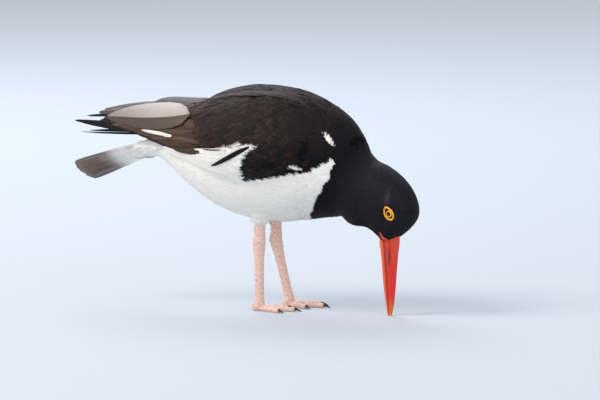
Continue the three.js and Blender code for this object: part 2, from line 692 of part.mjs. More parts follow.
function legParts(side, torsoPadded) {
  const ankle = ankleOf(side);
  const foot = footOf(side);
  const hip = vec(ANKLE_PLACE + 2, side * (LEG_SPREAD - 1), 96);
  const cuffEnd = ankle.clone().lerp(hip, 0.3);
  const thigh = limb(
    hip,
    cuffEnd,
    [
      [0, 13, 11, 0],
      [0.5, 10.5, 9, 0],
      [0.85, 6.6, 6, 0],
      [1, 5, 4.6, 0],
    ],
    14,
  ).subtract(torsoPadded);
  const joint = ankle.clone();
  const shankWay = hip.clone().sub(ankle).normalize();
  const tarsusWay = foot.clone().sub(ankle).normalize();
  const cutWay = shankWay.clone().sub(tarsusWay).normalize();
  const shank = limb(
    ankle.clone().lerp(hip, 0.29),
    joint.clone().addScaledVector(shankWay, -3),
    [
      [0, 4.6, 4, 0],
      [0.45, 4.9, 4.1, 0],
      [0.7, 5.3, 4.3, 0],
      [1, 5.8, 4.7, 0],
    ],
    12,
  ).intersect(halfSpace(joint, cutWay, GAP / 2));
  const tarsus = limb(
    joint.clone().addScaledVector(tarsusWay, -3),
    foot,
    [
      [0, 5.8, 4.7, 0],
      [0.13, 5.5, 4.5, 0],
      [0.26, 4.6, 3.8, 0],
      [0.5, 4.1, 3.3, 0],
      [0.86, 4.1, 3.4, 0],
      [0.97, 4.7, 4.4, 0],
      [1, 4.2, 4, 0],
    ],
    12,
  ).intersect(halfSpace(joint, flip(cutWay), GAP / 2));
  const toes = TOES.map((toe) => toeSolid(side, toe));
  const pad = ball(vec(foot.x - HEEL_BACK, foot.y, 3.2), 5, 10).intersect(halfSpace(vec(0, 0, 0), vec(0, 0, 1)));
  const footBase = foot.clone().setZ(FOOT_HEIGHT + 3);
  return {
    thigh,
    shank,
    tarsus: tarsus.intersect(halfSpace(footBase, vec(0, 0, 1), GAP / 2)),
    foot: fuse([...toes, pad, tarsus.intersect(halfSpace(vec(0, 0, 0), vec(0, 0, 1)))]).intersect(
      halfSpace(footBase, vec(0, 0, -1), GAP / 2),
    ),
  };
}

function toeSolid(side, toe, shrink = 0) {
  const heel = footOf(side);
  const angle = rad(toe.angle * -side);
  const along = vec(Math.cos(angle), Math.sin(angle), 0);
  const across = vec(-Math.sin(angle), Math.cos(angle), 0);
  const knuckles = 6;
  const rings = [];
  for (let i = 0; i <= knuckles; i++) {
    const t = i / knuckles;
    const swell = 1 + 0.1 * Math.cos(t * Math.PI * 6);
    const r = toe.radius * lerp(1.05, 0.72, t) * swell - shrink;
    const centre = heel.clone().addScaledVector(along, lerp(-1.5, toe.length, t));
    centre.z = r * 0.8;
    rings.push(
      oval(centre, vec(0, 0, r), across.clone().multiplyScalar(r), 7).map((p) => vec(p.x, p.y, Math.max(0, p.z))),
    );
  }
  return loft(rings);
}

function clawSolid(side, toe) {
  const heel = footOf(side);
  const angle = rad(toe.angle * -side);
  const along = vec(Math.cos(angle), Math.sin(angle), 0);
  const across = vec(-Math.sin(angle), Math.cos(angle), 0);
  const rings = [];
  for (let i = 0; i <= 3; i++) {
    const t = i / 3;
    const r = lerp(1.6, 0.35, t);
    const centre = heel.clone().addScaledVector(along, toe.length + GAP + CLAW_LENGTH * t);
    centre.z = lerp(2.2, 0.36, t * t);
    rings.push(oval(centre, vec(0, 0, r), across.clone().multiplyScalar(r * 0.8), 6));
  }
  return loft(rings);
}

// The whole bird.
const bird = new THREE.Group();
const put = (name, solid, material) => bird.add(meshOf(name, solid, material));
const torsoPadded = torsoSolid(GAP);
const trunkPadded = torsoPadded.add(mantleSolid(GAP));
const body = flesh();
put("torso", body.torso, WHITE_PLUMAGE);
put("breast", body.breast, BLACK_PLUMAGE);
put("neck", body.neck, BLACK_PLUMAGE);

const billPadded = mandible(true, GAP).add(mandible(false, GAP));
let head = body.head.subtract(billPadded);
for (const side of [RIGHT, LEFT]) {
  head = head.subtract(eyeDish(side)).subtract(ball(eyeCentre(side), EYE_RADIUS + GAP)).subtract(lidRing(side, GAP));
}
put("head", head, BLACK_PLUMAGE);
put("bill_upper", mandible(true).subtract(nostril(RIGHT)).subtract(nostril(LEFT)), BILL_HORN);
put("bill_lower", mandible(false), BILL_HORN);

for (const [side, label] of [
  [RIGHT, "right"],
  [LEFT, "left"],
]) {
  put(`eye_${label}`, ball(eyeCentre(side), EYE_RADIUS), IRIS);
  put(`eye_ring_${label}`, lidRing(side).subtract(ball(eyeCentre(side), EYE_RADIUS + GAP)), EYE_RING);
  const wing = wingParts(side, trunkPadded);
  put(`wing_${label}_coverts`, wing.coverts, BLACK_PLUMAGE);
  put(`wing_${label}_secondaries`, wing.secondaries, WHITE_PLUMAGE);
  put(`wing_${label}_primaries`, wing.primaries, BROWN_PLUMAGE);
  put(`wing_${label}_tertials`, wing.tertials, BROWN_PLUMAGE);
  put(`wing_${label}_scapulars`, wing.scapulars, BROWN_PLUMAGE);
  const leg = legParts(side, torsoPadded);
  put(`thigh_${label}`, leg.thigh, WHITE_PLUMAGE);
  put(`shank_${label}`, leg.shank, LEG_SKIN);
  put(`tarsus_${label}`, leg.tarsus, LEG_SKIN);
  put(`foot_${label}`, leg.foot, LEG_SKIN);
  for (const toe of TOES) {
    put(`claw_${label}_${toe.name}`, clawSolid(side, toe), CLAW_HORN);
  }
}
put("mantle", mantleSolid(0).subtract(torsoPadded), BLACK_PLUMAGE);
put("tail", tailSolid().subtract(torsoPadded), BROWN_PLUMAGE);

// The origin goes to the floor under the middle of the bounding box.
const box = new THREE.Box3().setFromObject(bird);
const centre = box.getCenter(vec(0, 0, 0));
bird.position.set(-centre.x, -centre.y, -box.min.z);

export default bird;
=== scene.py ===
import math

import bpy
import numpy as np
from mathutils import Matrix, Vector
from mathutils.bvhtree import BVHTree
from mathutils.kdtree import KDTree


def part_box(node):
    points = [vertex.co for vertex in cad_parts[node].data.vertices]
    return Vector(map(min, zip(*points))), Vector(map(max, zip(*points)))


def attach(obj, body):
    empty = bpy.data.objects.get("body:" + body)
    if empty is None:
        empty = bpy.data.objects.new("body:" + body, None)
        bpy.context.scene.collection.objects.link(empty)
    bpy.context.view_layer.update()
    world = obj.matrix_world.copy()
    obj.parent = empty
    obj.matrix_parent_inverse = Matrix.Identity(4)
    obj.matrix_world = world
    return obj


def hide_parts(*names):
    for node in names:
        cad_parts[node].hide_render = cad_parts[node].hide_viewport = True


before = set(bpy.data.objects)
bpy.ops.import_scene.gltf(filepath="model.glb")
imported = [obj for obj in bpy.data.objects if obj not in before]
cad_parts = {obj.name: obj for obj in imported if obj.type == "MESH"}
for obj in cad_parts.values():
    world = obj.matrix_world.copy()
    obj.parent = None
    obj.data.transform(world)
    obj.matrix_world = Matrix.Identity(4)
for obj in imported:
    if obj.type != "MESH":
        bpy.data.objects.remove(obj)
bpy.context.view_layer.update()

bl_info = {
    "name": "Oystercatcher",
    "version": (1, 0, 0),
    "blender": (4, 5, 0),
    "location": "3D View > Sidebar > Oystercatcher",
    "description": "Dresses the oystercatcher's solids with skin, plumage, bare parts and a plain stage",
    "category": "Object",
}

MM = 0.001
RIGHT, LEFT = -1, 1
rng = np.random.default_rng(11)

# Sizes of the bird in millimetres, in its own frame: the body heads along +X and its right side faces -Y.
BILL_FOOT = np.array([116.0, -12.0, 0.0])
HEAD_TURN = math.radians(13)
EYE_RADIUS, PUPIL_RADIUS, IRIS_RADIUS, IRIS_RIM = 6.0, 1.9, 2.3, 2.8
EYE_CROWN, EYE_DEPTH, EYE_HEIGHT = 10.6, 11.9, 89.2
RING_DEPTH, RING_LENGTH, RING_BREADTH, RING_SLANT = 17.0, 5.2, 3.9, 24
CROWN = np.array([math.cos(HEAD_TURN), -math.sin(HEAD_TURN), 0.0])
LATERAL = np.array([math.sin(HEAD_TURN), math.cos(HEAD_TURN), 0.0])
UP = np.array([0.0, 0.0, 1.0])

# Trunk: [x, back height, belly height, half width, roll in degrees].
TORSO = [
    (-131, 132.8, 125.6, 16, 24), (-118, 139, 126, 18, 18), (-100, 151, 124.5, 22, 8),
    (-85, 162, 114, 30, 2), (-65, 175.5, 98, 39, 0), (-42, 187.5, 84.5, 46, 0), (-18, 193.5, 76.5, 49, 0),
    (8, 194, 73.5, 50, 0), (32, 190.5, 75.5, 49, 0), (55, 181.5, 79, 44, 0), (74, 169, 82, 34.5, 0),
    (87, 153.5, 90, 22.5, 0), (93, 142, 104, 12, 0),
]
# Neck and head: [place along, nape x, nape z, throat x, throat z, middle y, half width].
NECK = [
    (0, 50, 168, 54, 100, 0, 30), (1, 77, 153, 68, 84.5, -1, 31.5), (2, 97, 134.5, 79, 74, -3, 29),
    (3, 110, 129.5, 91, 73, -6, 26), (4, 124, 122, 99, 70.3, -9.5, 23.5),
    (5, 136, 111.5, 104.5, 66.5, -12.6, 21), (6, 143, 99, 106.5, 64.6, -13.8, 18.6),
    (7, 144, 89.5, 107.5, 63.2, -14.2, 17.2), (8, 140, 82, 108.8, 62.6, -14, 14.8),
    (9, 133.5, 75, 110, 62.2, -13.5, 11.4), (10, 127, 69.5, 111, 61.9, -12.9, 8.6),
    (11, 122.5, 66, 112, 61.7, -12.5, 6),
]
# Folded wing: places from the wrist to the tip, and the right wing's lower, side and upper curves there.
WING_PLACES = [0, 0.14, 0.28, 0.42, 0.56, 0.74, 0.9, 1]
WING_LOWER = [(68, -39, 138), (37, -52.5, 127), (2, -56, 119), (-30, -52, 121)]
WING_LOWER += [(-62, -42, 132), (-102, -28.5, 144), (-141, -19, 152.5), (-177, -9, 156)]
WING_SIDE = [(69, -38, 151), (36, -54, 155), (2, -59.5, 159), (-30, -54.5, 160)]
WING_SIDE += [(-61, -42, 161), (-100, -28, 163), (-137, -17, 163.5), (-173, -9, 160.5)]
WING_UPPER = [(61, -24, 171), (33, -26, 185.5), (2, -27, 190), (-30, -24, 187.5)]
WING_UPPER += [(-60, -18, 180), (-96, -11, 177), (-130, -8, 171.5), (-168, -6, 165)]
WING_CURVES = [np.column_stack([WING_PLACES, curve]) for curve in (WING_LOWER, WING_SIDE, WING_UPPER)]
# How far the left wing's tip hangs lower and reaches farther back than the right one's.
LEFT_DROOP, LEFT_REACH = 10, 8
BILL_TOP, MOUTH_GAP, NOSTRIL_REACH = 73, 0.12, 6.5
# Bill: [height, culmen, gonys, half width, mouth line], across the head.
BILL = [
    (0, 2.2, -1.9, 1.6, -0.1), (10, 4.2, -3.6, 2.3, -0.5), (22, 5.6, -5.5, 3.1, -0.9),
    (34, 6.5, -6.7, 3.8, -1.3), (44, 7.3, -7.3, 4.7, -1.6), (54, 8.2, -8.2, 5.6, -1.9),
    (64, 9.4, -9.2, 6.6, -2), (74, 8.2, -5.6, 6.4, -1.9),
]
# The line from the bill to the tail that the plumage follows.
SPINE = np.array(
    [(116, -13, 60), (124, -14, 78), (124, -13, 94), (113, -9, 104), (96, -4, 110), (66, 0, 124)]
    + [(25, 0, 134), (-20, 0, 137), (-65, 0, 140), (-100, 0, 138), (-131, 0, 129), (-180, 0, 112)],
    float,
)
SPINE_STEPS = np.linalg.norm(np.diff(SPINE, axis=0), axis=1)
SPINE_STARTS = np.concatenate([[0], np.cumsum(SPINE_STEPS)])
# Lamps: name, place and size in metres, power in watts, colour.
LIGHTS = (
    ("key_light", (-1.6, -1.4, 2.2), 1.6, 46, "#fff6ea"),
    ("rim_light", (-1.2, 1.6, 1.6), 1.4, 22, "#f3f6ff"),
    ("fill_light", (2.0, -1.6, 0.9), 1.6, 9, "#eef3ff"),
)
# The camera's view: ways back, right and up, the frame's middle across and up, and its width.
VIEW = ((0.3726, -0.9221, 0.1045), (0.9272, 0.3746, 0), (-0.0392, 0.0969, 0.9945))
FRAME_CENTRE, FRAME_WIDTH, SENSOR = (26.4, 92.8), 600 * 0.86, 36
# How deep the coat lies over the skin, and the size of the skin's own faces.
TRUNK_COAT, NECK_COAT, WING_COAT = 1.9, 1.5, 2.0
BODY_VOXEL, LEG_VOXEL = 1.5, 0.55
# The skin's plate under a wing: its u and v, and how far its inner face lies below the wing's sheet.
PLATE_U, PLATE_V, PLATE_DEPTH = (0.004, 0.6), (-0.24, 1.16), 15
ANKLE_X, LEG_Y, FOOT_HEIGHT, TARSUS_LENGTH, HEEL_BACK = -1.7, 19.0, 5.0, 54.0, 2.0
LEG_LEAN = {RIGHT: math.radians(0.5), LEFT: math.radians(14)}
TOES = [("inner", 25, 34, 2.7), ("middle", 32, 2, 3.0), ("outer", 27, -30, 2.8)]
CLAW_LENGTH, CLAW_ROOT, CLAW_TIP = 6.0, 1.6, 0.3
# Leg: [share along, half depth, half width].
HEEL = [(0, 3.6, 3.6), (0.5, 4.9, 4.9), (1, 4.2, 4.2)]
SHANK = [(0, 4.9, 4.2), (0.4, 5.0, 4.1), (0.65, 5.3, 4.3), (0.85, 5.9, 4.7), (1, 5.6, 4.5)]
TARSUS = [(0, 5.8, 4.7), (0.12, 5.5, 4.5), (0.26, 4.6, 3.8), (0.5, 4.1, 3.3), (0.86, 4.1, 3.4), (1, 4.6, 4.2)]
TAIL_ROOT, TAIL_PITCH, TAIL_ROLL = np.array([-131.6, 0, 129.6]), math.radians(20), math.radians(24)
# Tail: half the fan's angle, the length shown, the length of the fan's hidden part, its feathers.
TAIL_SPREAD, TAIL_SHOWN, TAIL_HIDDEN, TAIL_COUNT, TAIL_HALF = 7.4, 48.5, 110.0, 12, 5.6


def unit(v):
    return v / np.maximum(np.linalg.norm(v, axis=-1, keepdims=True), 1e-9)


def mix(one, other, share):
    """Between one and the other by a share."""
    return one * (1 - share) + other * share


def ramp(x, start, end):
    """From 0 at the start to 1 at the end, flat outside."""
    return np.clip((x - start) / (end - start), 0, 1)


def bell(x, middle, width, power=2):
    """1 at the middle, falling to 0 beyond the width on both sides."""
    return np.exp(-(((x - middle) / width) ** power))


def along_curve(table, places):
    """The second column of a table at places of its first."""
    return np.interp(places, *np.asarray(table, float).T)


def profile(stations, places):
    """Smooth values through stations [place, value, ...] at many places."""
    table = np.array(stations, float)
    at, values = table[:, 0], table[:, 1:]
    x = np.atleast_1d(np.asarray(places, float))
    k = np.clip(np.searchsorted(at, x, side="right") - 1, 0, len(at) - 2)
    before, after = np.maximum(k - 1, 0), np.minimum(k + 2, len(at) - 1)
    step = (at[k + 1] - at[k])[:, None]
    t = np.clip((x - at[k])[:, None] / step, 0, 1)
    slope_in = (values[k + 1] - values[before]) / (at[k + 1] - at[before])[:, None] * step
    slope_out = (values[after] - values[k]) / (at[after] - at[k])[:, None] * step
    return (
        values[k] * (2 * t**3 - 3 * t**2 + 1)
        + slope_in * (t**3 - 2 * t**2 + t)
        + values[k + 1] * (3 * t**2 - 2 * t**3)
        + slope_out * (t**3 - t**2)
    )


def head_point(crown, lateral, z):
    return BILL_FOOT + CROWN * crown + LATERAL * lateral + UP * z


def eye_centre(side):
    return head_point(EYE_CROWN, side * EYE_DEPTH, EYE_HEIGHT)


def packed_shift():
    """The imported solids' place less the bird frame's, in millimetres, from the right eye."""
    low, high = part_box("eye_right")
    return np.array((low + high) / 2) / MM - eye_centre(RIGHT)


SHIFT = packed_shift()


def wing_point(side, u, v):
    """A point on the wing's sheet: u from the wrist to the tip, v from the lower edge to the back."""
    low, middle, high = (profile(curve, u) for curve in WING_CURVES)
    v = np.atleast_1d(v)[:, None]
    p = low * (1 - v) * (1 - 2 * v) + middle * 4 * v * (1 - v) + high * v * (2 * v - 1)
    if side == LEFT:
        back = np.atleast_1d(u) ** 2
        p = p * np.array([1, -1, 1])
        p[:, 0] -= LEFT_REACH * back
        p[:, 2] -= LEFT_DROOP * back
    return p


def wing_normal(side, u, v):
    """The wing's outward way at places of its sheet."""
    step = 0.01
    u = np.clip(np.atleast_1d(u).astype(float), step, 1 - step)
    along = wing_point(side, u + step, v) - wing_point(side, u - step, v)
    across = wing_point(side, u, np.asarray(v) + step) - wing_point(side, u, np.asarray(v) - step)
    return unit(np.cross(along, across)) * (-1 if side == RIGHT else 1)


# Colours, materials.


def linear(hex_colour):
    """An sRGB hex value as linear red, green and blue."""
    value = hex_colour.lstrip("#")
    parts = np.array([int(value[i : i + 2], 16) for i in (0, 2, 4)]) / 255
    return np.where(parts <= 0.04045, parts / 12.92, ((parts + 0.055) / 1.055) ** 2.4)


HEAD_BLACK = linear("#191820")
# Painted highlight: the blue-grey of the soft sheen on the crown above the eye.
PAINTED_CROWN_SHEEN = linear("#3b3c46")
BREAST_BLACK = linear("#09090c")
MANTLE_BLACK = linear("#1d1618")
SCAPULAR_BROWN = linear("#271d1e")
REAR_BROWN = linear("#382926")
TERTIAL_BROWN = linear("#54402f")
EDGE_BROWN = linear("#74563f")
BELLY_WHITE = linear("#f4f0e9")
SHADE_WHITE = linear("#dcdad4")
PALE_WEB = linear("#b5aba6")
GREY_BROWN = linear("#5f5149")
PRIMARY_BLACK = linear("#16141a")
TAIL_BROWN = linear("#5f3f2f")
TAIL_BLACK = linear("#241c1f")
MOTTLE_SIZE = 4
SEAM_ROOM = 1.06
MATERIALS = {}
SKIN = {}


def add_node(tree, kind, settings=None, links=None):
    """Adds a node, sets its properties and inputs, and links inputs to other nodes' outputs."""
    node = tree.nodes.new(kind)
    for key, value in (settings or {}).items():
        if hasattr(node, key):
            setattr(node, key, value)
        else:
            node.inputs[key].default_value = value
    for key, output in (links or {}).items():
        tree.links.new(output, node.inputs[key])
    return node


def new_material(name, settings):
    material = bpy.data.materials.new(name)
    material.use_nodes = True
    tree = material.node_tree
    tree.nodes.clear()
    shader = add_node(tree, "ShaderNodeBsdfPrincipled", settings)
    add_node(tree, "ShaderNodeOutputMaterial", links={"Surface": shader.outputs[0]})
    return material, tree, shader


def tinted_material(name, settings, bump_mm=None, bump_height=0.0, mottle=0.0):
    """A material whose colour is the mesh's own tint, with an optional fine relief."""
    material, tree, shader = new_material(name, settings)
    colour = add_node(tree, "ShaderNodeAttribute", {"attribute_name": "tint"}).outputs["Color"]
    place = add_node(tree, "ShaderNodeTexCoord").outputs["Object"]
    if mottle:
        cloud = {"Scale": 1 / (MOTTLE_SIZE * MM), "Detail": 3.0}
        noise = add_node(tree, "ShaderNodeTexNoise", cloud, {"Vector": place})
        limits = {"To Min": 1 - mottle, "To Max": 1 + mottle}
        spread = add_node(tree, "ShaderNodeMapRange", limits, {"Value": noise.outputs["Fac"]})
        mixed = add_node(tree, "ShaderNodeVectorMath", {"operation": "SCALE"}, {"Scale": spread.outputs[0]})
        tree.links.new(colour, mixed.inputs[0])
        colour = mixed.outputs[0]
    tree.links.new(colour, shader.inputs["Base Color"])
    if bump_mm:
        fine = {"Scale": 1 / (bump_mm * MM), "Detail": 2.0}
        grain = add_node(tree, "ShaderNodeTexNoise", fine, {"Vector": place})
        depth = {"Strength": 0.5, "Distance": bump_height * MM}
        relief = add_node(tree, "ShaderNodeBump", depth, {"Height": grain.outputs["Fac"]})
        tree.links.new(relief.outputs[0], shader.inputs["Normal"])
    return material


def make_materials():
    """Every finish of the bird by its plain name."""
    made = {}
    # Contour feathers: matte keratin barbs that catch a soft light at their edges.
    soft = {"Roughness": 0.62, "Specular IOR Level": 0.12}
    made["contour"] = tinted_material("contour_feathers", soft, 1.2, 0.08, 0.18)
    # White down-edged feathers: rougher, with almost no shine.
    pale = {"Roughness": 0.9, "Specular IOR Level": 0.12}
    made["white"] = tinted_material("white_feathers", pale, 1.5, 0.05, 0.03)
    # Flight feathers: harder keratin, a low silky shine.
    firm = {"Roughness": 0.5, "Specular IOR Level": 0.18}
    made["flight"] = tinted_material("flight_feathers", firm, 0.8, 0.06, 0.12)
    # Skin between the feathers: dull, so that gaps in the coat stay quiet.
    made["skin"] = tinted_material("feathered_skin", {"Roughness": 0.9, "Specular IOR Level": 0.1})
    # Bill horn: dense keratin, waxy, lit a little from within.
    horn = {"Roughness": 0.34, "IOR": 1.54, "Subsurface Weight": 0.12, "Subsurface Scale": 0.002}
    made["bill"] = tinted_material("bill_horn", horn, 2.0, 0.12, 0.14)
    # Leg skin: dry scaled leather.
    scaled = {"Roughness": 0.5, "IOR": 1.45, "Subsurface Weight": 0.1, "Subsurface Scale": 0.002}
    made["leg"] = tinted_material("scaled_leg_skin", scaled, 1.1, 0.3, 0.12)
    # Claws: smooth dark horn with a small clear highlight.
    made["claw"] = tinted_material("claw_horn", {"Roughness": 0.35, "IOR": 1.54})
    # Eye: a wet clear cornea over a coloured iris.
    cornea = {"Coat Weight": 0.3, "Coat Roughness": 0.03, "Coat IOR": 1.376}
    made["eye"] = tinted_material("wet_eye", {"Roughness": 0.3, "Specular IOR Level": 0.2} | cornea)
    # Eye ring: bare skin, a little greasy.
    made["lids"] = tinted_material("bare_eye_ring", {"Roughness": 0.42, "IOR": 1.45}, 0.7, 0.12, 0.06)
    return made


# Meshes.


def placed(name, data):
    """A new object in the scene."""
    thing = bpy.data.objects.new(name, data)
    bpy.context.scene.collection.objects.link(thing)
    return thing


def read_whole(items, key):
    values = np.empty(len(items), np.int64)
    items.foreach_get(key, values)
    return values


def set_bake_map(mesh, places):
    """The map OFBake from one place for each point; a face over the seam runs on past its upper edge."""
    spread = np.asarray(places, float)[read_whole(mesh.loops, "vertex_index")]
    owner = np.repeat(np.arange(len(mesh.polygons)), read_whole(mesh.polygons, "loop_total"))
    high = np.full(len(mesh.polygons), -1.0)
    np.maximum.at(high, owner, spread[:, 1])
    spread[high[owner] - spread[:, 1] > 0.5, 1] += 1
    mesh.uv_layers.new(name="OFBake").data.foreach_set("uv", (spread * [1, 1 / SEAM_ROOM]).ravel())


def make_piece(name, points, faces, finish, slot, tint, uv=None, normals=None, replaces=()):
    """A mesh object from millimetre points, groups of faces, a tint and a bake map, riding on the root."""
    mesh = bpy.data.meshes.new(name)
    points = (np.asarray(points, float) + SHIFT) * MM
    faces = [np.asarray(f, np.int64) for f in (faces if isinstance(faces, list) else [faces])]
    loops = np.concatenate([f.ravel() for f in faces])
    sizes = np.concatenate([np.full(len(f), f.shape[1]) for f in faces])
    mesh.vertices.add(len(points))
    mesh.vertices.foreach_set("co", points.ravel())
    mesh.loops.add(len(loops))
    mesh.loops.foreach_set("vertex_index", loops)
    mesh.polygons.add(len(sizes))
    mesh.polygons.foreach_set("loop_start", np.concatenate([[0], np.cumsum(sizes)[:-1]]))
    mesh.update(calc_edges=True)
    mesh.validate()
    mesh.polygons.foreach_set("use_smooth", np.ones(len(mesh.polygons), bool))
    colours = np.ones((len(points), 4))
    colours[:, :3] = np.clip(tint, 0, 1)
    layer = mesh.color_attributes.new("tint", "FLOAT_COLOR", "POINT")
    layer.data.foreach_set("color", colours.ravel())
    if uv is not None:
        set_bake_map(mesh, uv)
    if normals is not None:
        mesh.normals_split_custom_set_from_vertices(normals.tolist())
    mesh.materials.append(MATERIALS[finish])
    thing = placed(name, mesh)
    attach(thing, "root")
    if replaces:
        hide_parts(*replaces)
    return thing


def tube_faces(rings, sides, closed=False):
    """Faces of a skin over rings of equal size; a closed one joins the last ring to the first."""
    i, j = np.meshgrid(np.arange(rings if closed else rings - 1), np.arange(sides), indexing="ij")
    k, n = (j + 1) % sides, (i + 1) % rings
    return np.stack([i * sides + j, i * sides + k, n * sides + k, n * sides + j], -1).reshape(-1, 4)


def loft(rings):
    """Points and faces of a closed skin over rings, with flat ends."""
    rings = np.asarray(rings, float)
    count, sides = rings.shape[:2]
    points = np.concatenate([rings.reshape(-1, 3), rings[[0, -1]].mean(axis=1)])
    j = np.arange(sides)
    k = (j + 1) % sides
    base, end = count * sides, (count - 1) * sides
    first = np.stack([np.full(sides, base), k, j], -1)
    last = np.stack([np.full(sides, base + 1), end + j, end + k], -1)
    return points, [tube_faces(count, sides), np.concatenate([first, last])]


def ovals(centres, ups, sides_way, count, downs=None):
    """Rings of count points round centres, with half axes upwards, sideways and, if other, downwards."""
    angle = np.linspace(0, 2 * math.pi, count, endpoint=False)
    c, s = np.cos(angle)[None, :, None], np.sin(angle)[None, :, None]
    downs = ups if downs is None else downs
    rise = np.where(s > 0, ups[:, None, :], downs[:, None, :])
    return centres[:, None, :] + sides_way[:, None, :] * c + rise * s


def torso_rings(pad, count=60, sides=48):
    """Rings of the trunk, grown by pad."""
    x = np.linspace(TORSO[0][0], TORSO[-1][0], count)
    top, bottom, width, roll = profile(TORSO, x).T
    middle = bottom + (top - bottom) * 0.48
    turn = np.radians(roll)
    side = np.stack([0 * x, np.cos(turn), -np.sin(turn)], -1)
    up = np.stack([0 * x, np.sin(turn), np.cos(turn)], -1)
    centres = np.stack([x + np.linspace(-pad, pad, count), 0 * x, middle], -1)
    ups, downs = up * (top - middle + pad)[:, None], up * (middle - bottom + pad)[:, None]
    return ovals(centres, ups, side * (width + pad)[:, None], sides, downs)


def neck_rings(pad, count=60, sides=40):
    """Rings of the neck and head, grown by pad and turned into the head's yaw."""
    place = np.linspace(0, NECK[-1][0], count)
    nape_x, nape_z, throat_x, throat_z, middle_y, width = profile(NECK, place).T
    yaw = HEAD_TURN * np.minimum(1, place / 5)
    centres = np.stack([(nape_x + throat_x) / 2, middle_y, (nape_z + throat_z) / 2], -1)
    half_x, half_z = (nape_x - throat_x) / 2, (nape_z - throat_z) / 2
    rise = np.stack([half_x * np.cos(yaw), -half_x * np.sin(yaw), half_z], -1)
    rise = unit(rise) * (np.linalg.norm(rise, axis=-1) + pad)[:, None]
    side = np.stack([np.sin(yaw), np.cos(yaw), 0 * yaw], -1) * (width + pad)[:, None]
    return ovals(centres, rise, side, sides)


def sheet_solid(side, us, vs, low, high):
    """A closed plate of the wing's sheet; high gives the outer face's height over the sheet by u and v."""
    u, v = np.meshgrid(us, vs, indexing="ij")
    rows, columns = u.shape
    p = wing_point(side, u.ravel(), v.ravel())
    n = wing_normal(side, u.ravel(), v.ravel())
    points = np.concatenate([p + n * high.reshape(-1, 1), p + n * low])
    i, j = np.meshgrid(np.arange(rows - 1), np.arange(columns - 1), indexing="ij")
    a = (i * columns + j).ravel()
    quads = np.stack([a, a + columns, a + columns + 1, a + 1], -1)
    under = quads[:, ::-1] + rows * columns
    up, across = np.arange(rows - 1) * columns, np.arange(columns - 1)
    rim = [across, columns - 1 + up, (rows - 1) * columns + columns - 1 - across, up[::-1] + columns]
    rim = np.concatenate(rim)
    after = np.roll(rim, -1)
    wall = np.stack([rim, after, after + rows * columns, rim + rows * columns], -1)
    return points, [np.concatenate([quads, under, wall])]


def joined(groups):
    """Several meshes, each points, faces and further arrays by point, as one."""
    points, faces, *rest = zip(*groups)
    starts = np.cumsum([0] + [len(p) for p in points])
    moved = [f + start for fs, start in zip(faces, starts) for f in fs]
    return np.concatenate(points), moved, *(np.concatenate(part) for part in rest)


def remeshed(solids, voxel_mm, smooth):
    """One skin over several overlapping solids, read back as millimetre points and faces."""
    points, faces = joined(solids)
    mesh = bpy.data.meshes.new("draft")
    mesh.from_pydata((points * MM).tolist(), [], [tuple(map(int, f)) for group in faces for f in group])
    draft = placed("draft", mesh)
    modifier = draft.modifiers.new("one_skin", "REMESH")
    modifier.mode = "VOXEL"
    modifier.voxel_size = voxel_mm * MM
    relax = draft.modifiers.new("relax", "SMOOTH")
    relax.factor, relax.iterations = 0.5, smooth
    result = draft.evaluated_get(bpy.context.evaluated_depsgraph_get()).to_mesh()
    out = np.empty(len(result.vertices) * 3)
    result.vertices.foreach_get("co", out)
    quads = read_whole(result.loops, "vertex_index")
    bpy.data.objects.remove(draft)
    return out.reshape(-1, 3) / MM, quads.reshape(-1, 4)


# Plumage.


def spine_place(points):
    """Share of the way along the spine, and the spine's way there, for many points."""
    best = np.full(len(points), 1e9)
    place = np.zeros(len(points))
    way = np.zeros((len(points), 3))
    smooth_way = unit(np.gradient(SPINE, axis=0))
    for k, length in enumerate(SPINE_STEPS):
        a, b = SPINE[k], SPINE[k + 1]
        t = np.clip(((points - a) @ (b - a)) / length**2, 0, 1)
        gap = np.linalg.norm(points - (a + t[:, None] * (b - a)), axis=1)
        nearer = gap < best
        best[nearer] = gap[nearer]
        place[nearer] = (SPINE_STARTS[k] + t[nearer] * length) / SPINE_STARTS[-1]
        way[nearer] = mix(smooth_way[k], smooth_way[k + 1], t[:, None])[nearer]
    return place, unit(way)


def skin_map(points):
    """The bake map's place of points on the skin: along the spine and round it."""
    place, way = spine_place(points)
    starts = SPINE_STARTS / SPINE_STARTS[-1]
    centre = np.stack([np.interp(place, starts, SPINE[:, c]) for c in range(3)], -1)
    out = points - centre
    side = unit(np.cross(way, np.array([0.3, 0, 1.0])))
    top = np.cross(side, way)
    angle = np.arctan2((out * side).sum(1), (out * top).sum(1))
    return np.stack([0.01 + 0.97 * place, (angle / (2 * math.pi)) % 1.0 * 0.995], -1)


def vane_mesh(points, tints, uv, normals):
    """Closed feathers from their surface points (feathers, rows, sides, 3), tints, bake map and normals."""
    n, rows, sides = points.shape[:3]
    cap = np.array([range(sides)[::-1], range((rows - 1) * sides, rows * sides)])
    offsets = (np.arange(n) * rows * sides)[:, None, None]
    faces = [(part[None] + offsets).reshape(-1, part.shape[1]) for part in (tube_faces(rows, sides), cap)]
    return points.reshape(-1, 3), faces, tints.reshape(-1, 3), uv.reshape(-1, 2), normals.reshape(-1, 3)


def silky(out, across, along, section, rows, round_by=0.3):
    """Normals of vanes that shade as one soft coat: the skin's own, turned a little to edge and tip."""
    s, h = section.T
    turned = out + across * (round_by * s)[:, None] + along * (0.25 * np.asarray(rows)[:, None, None] ** 4)
    return unit(np.where((h < 0)[:, None], -out, turned))


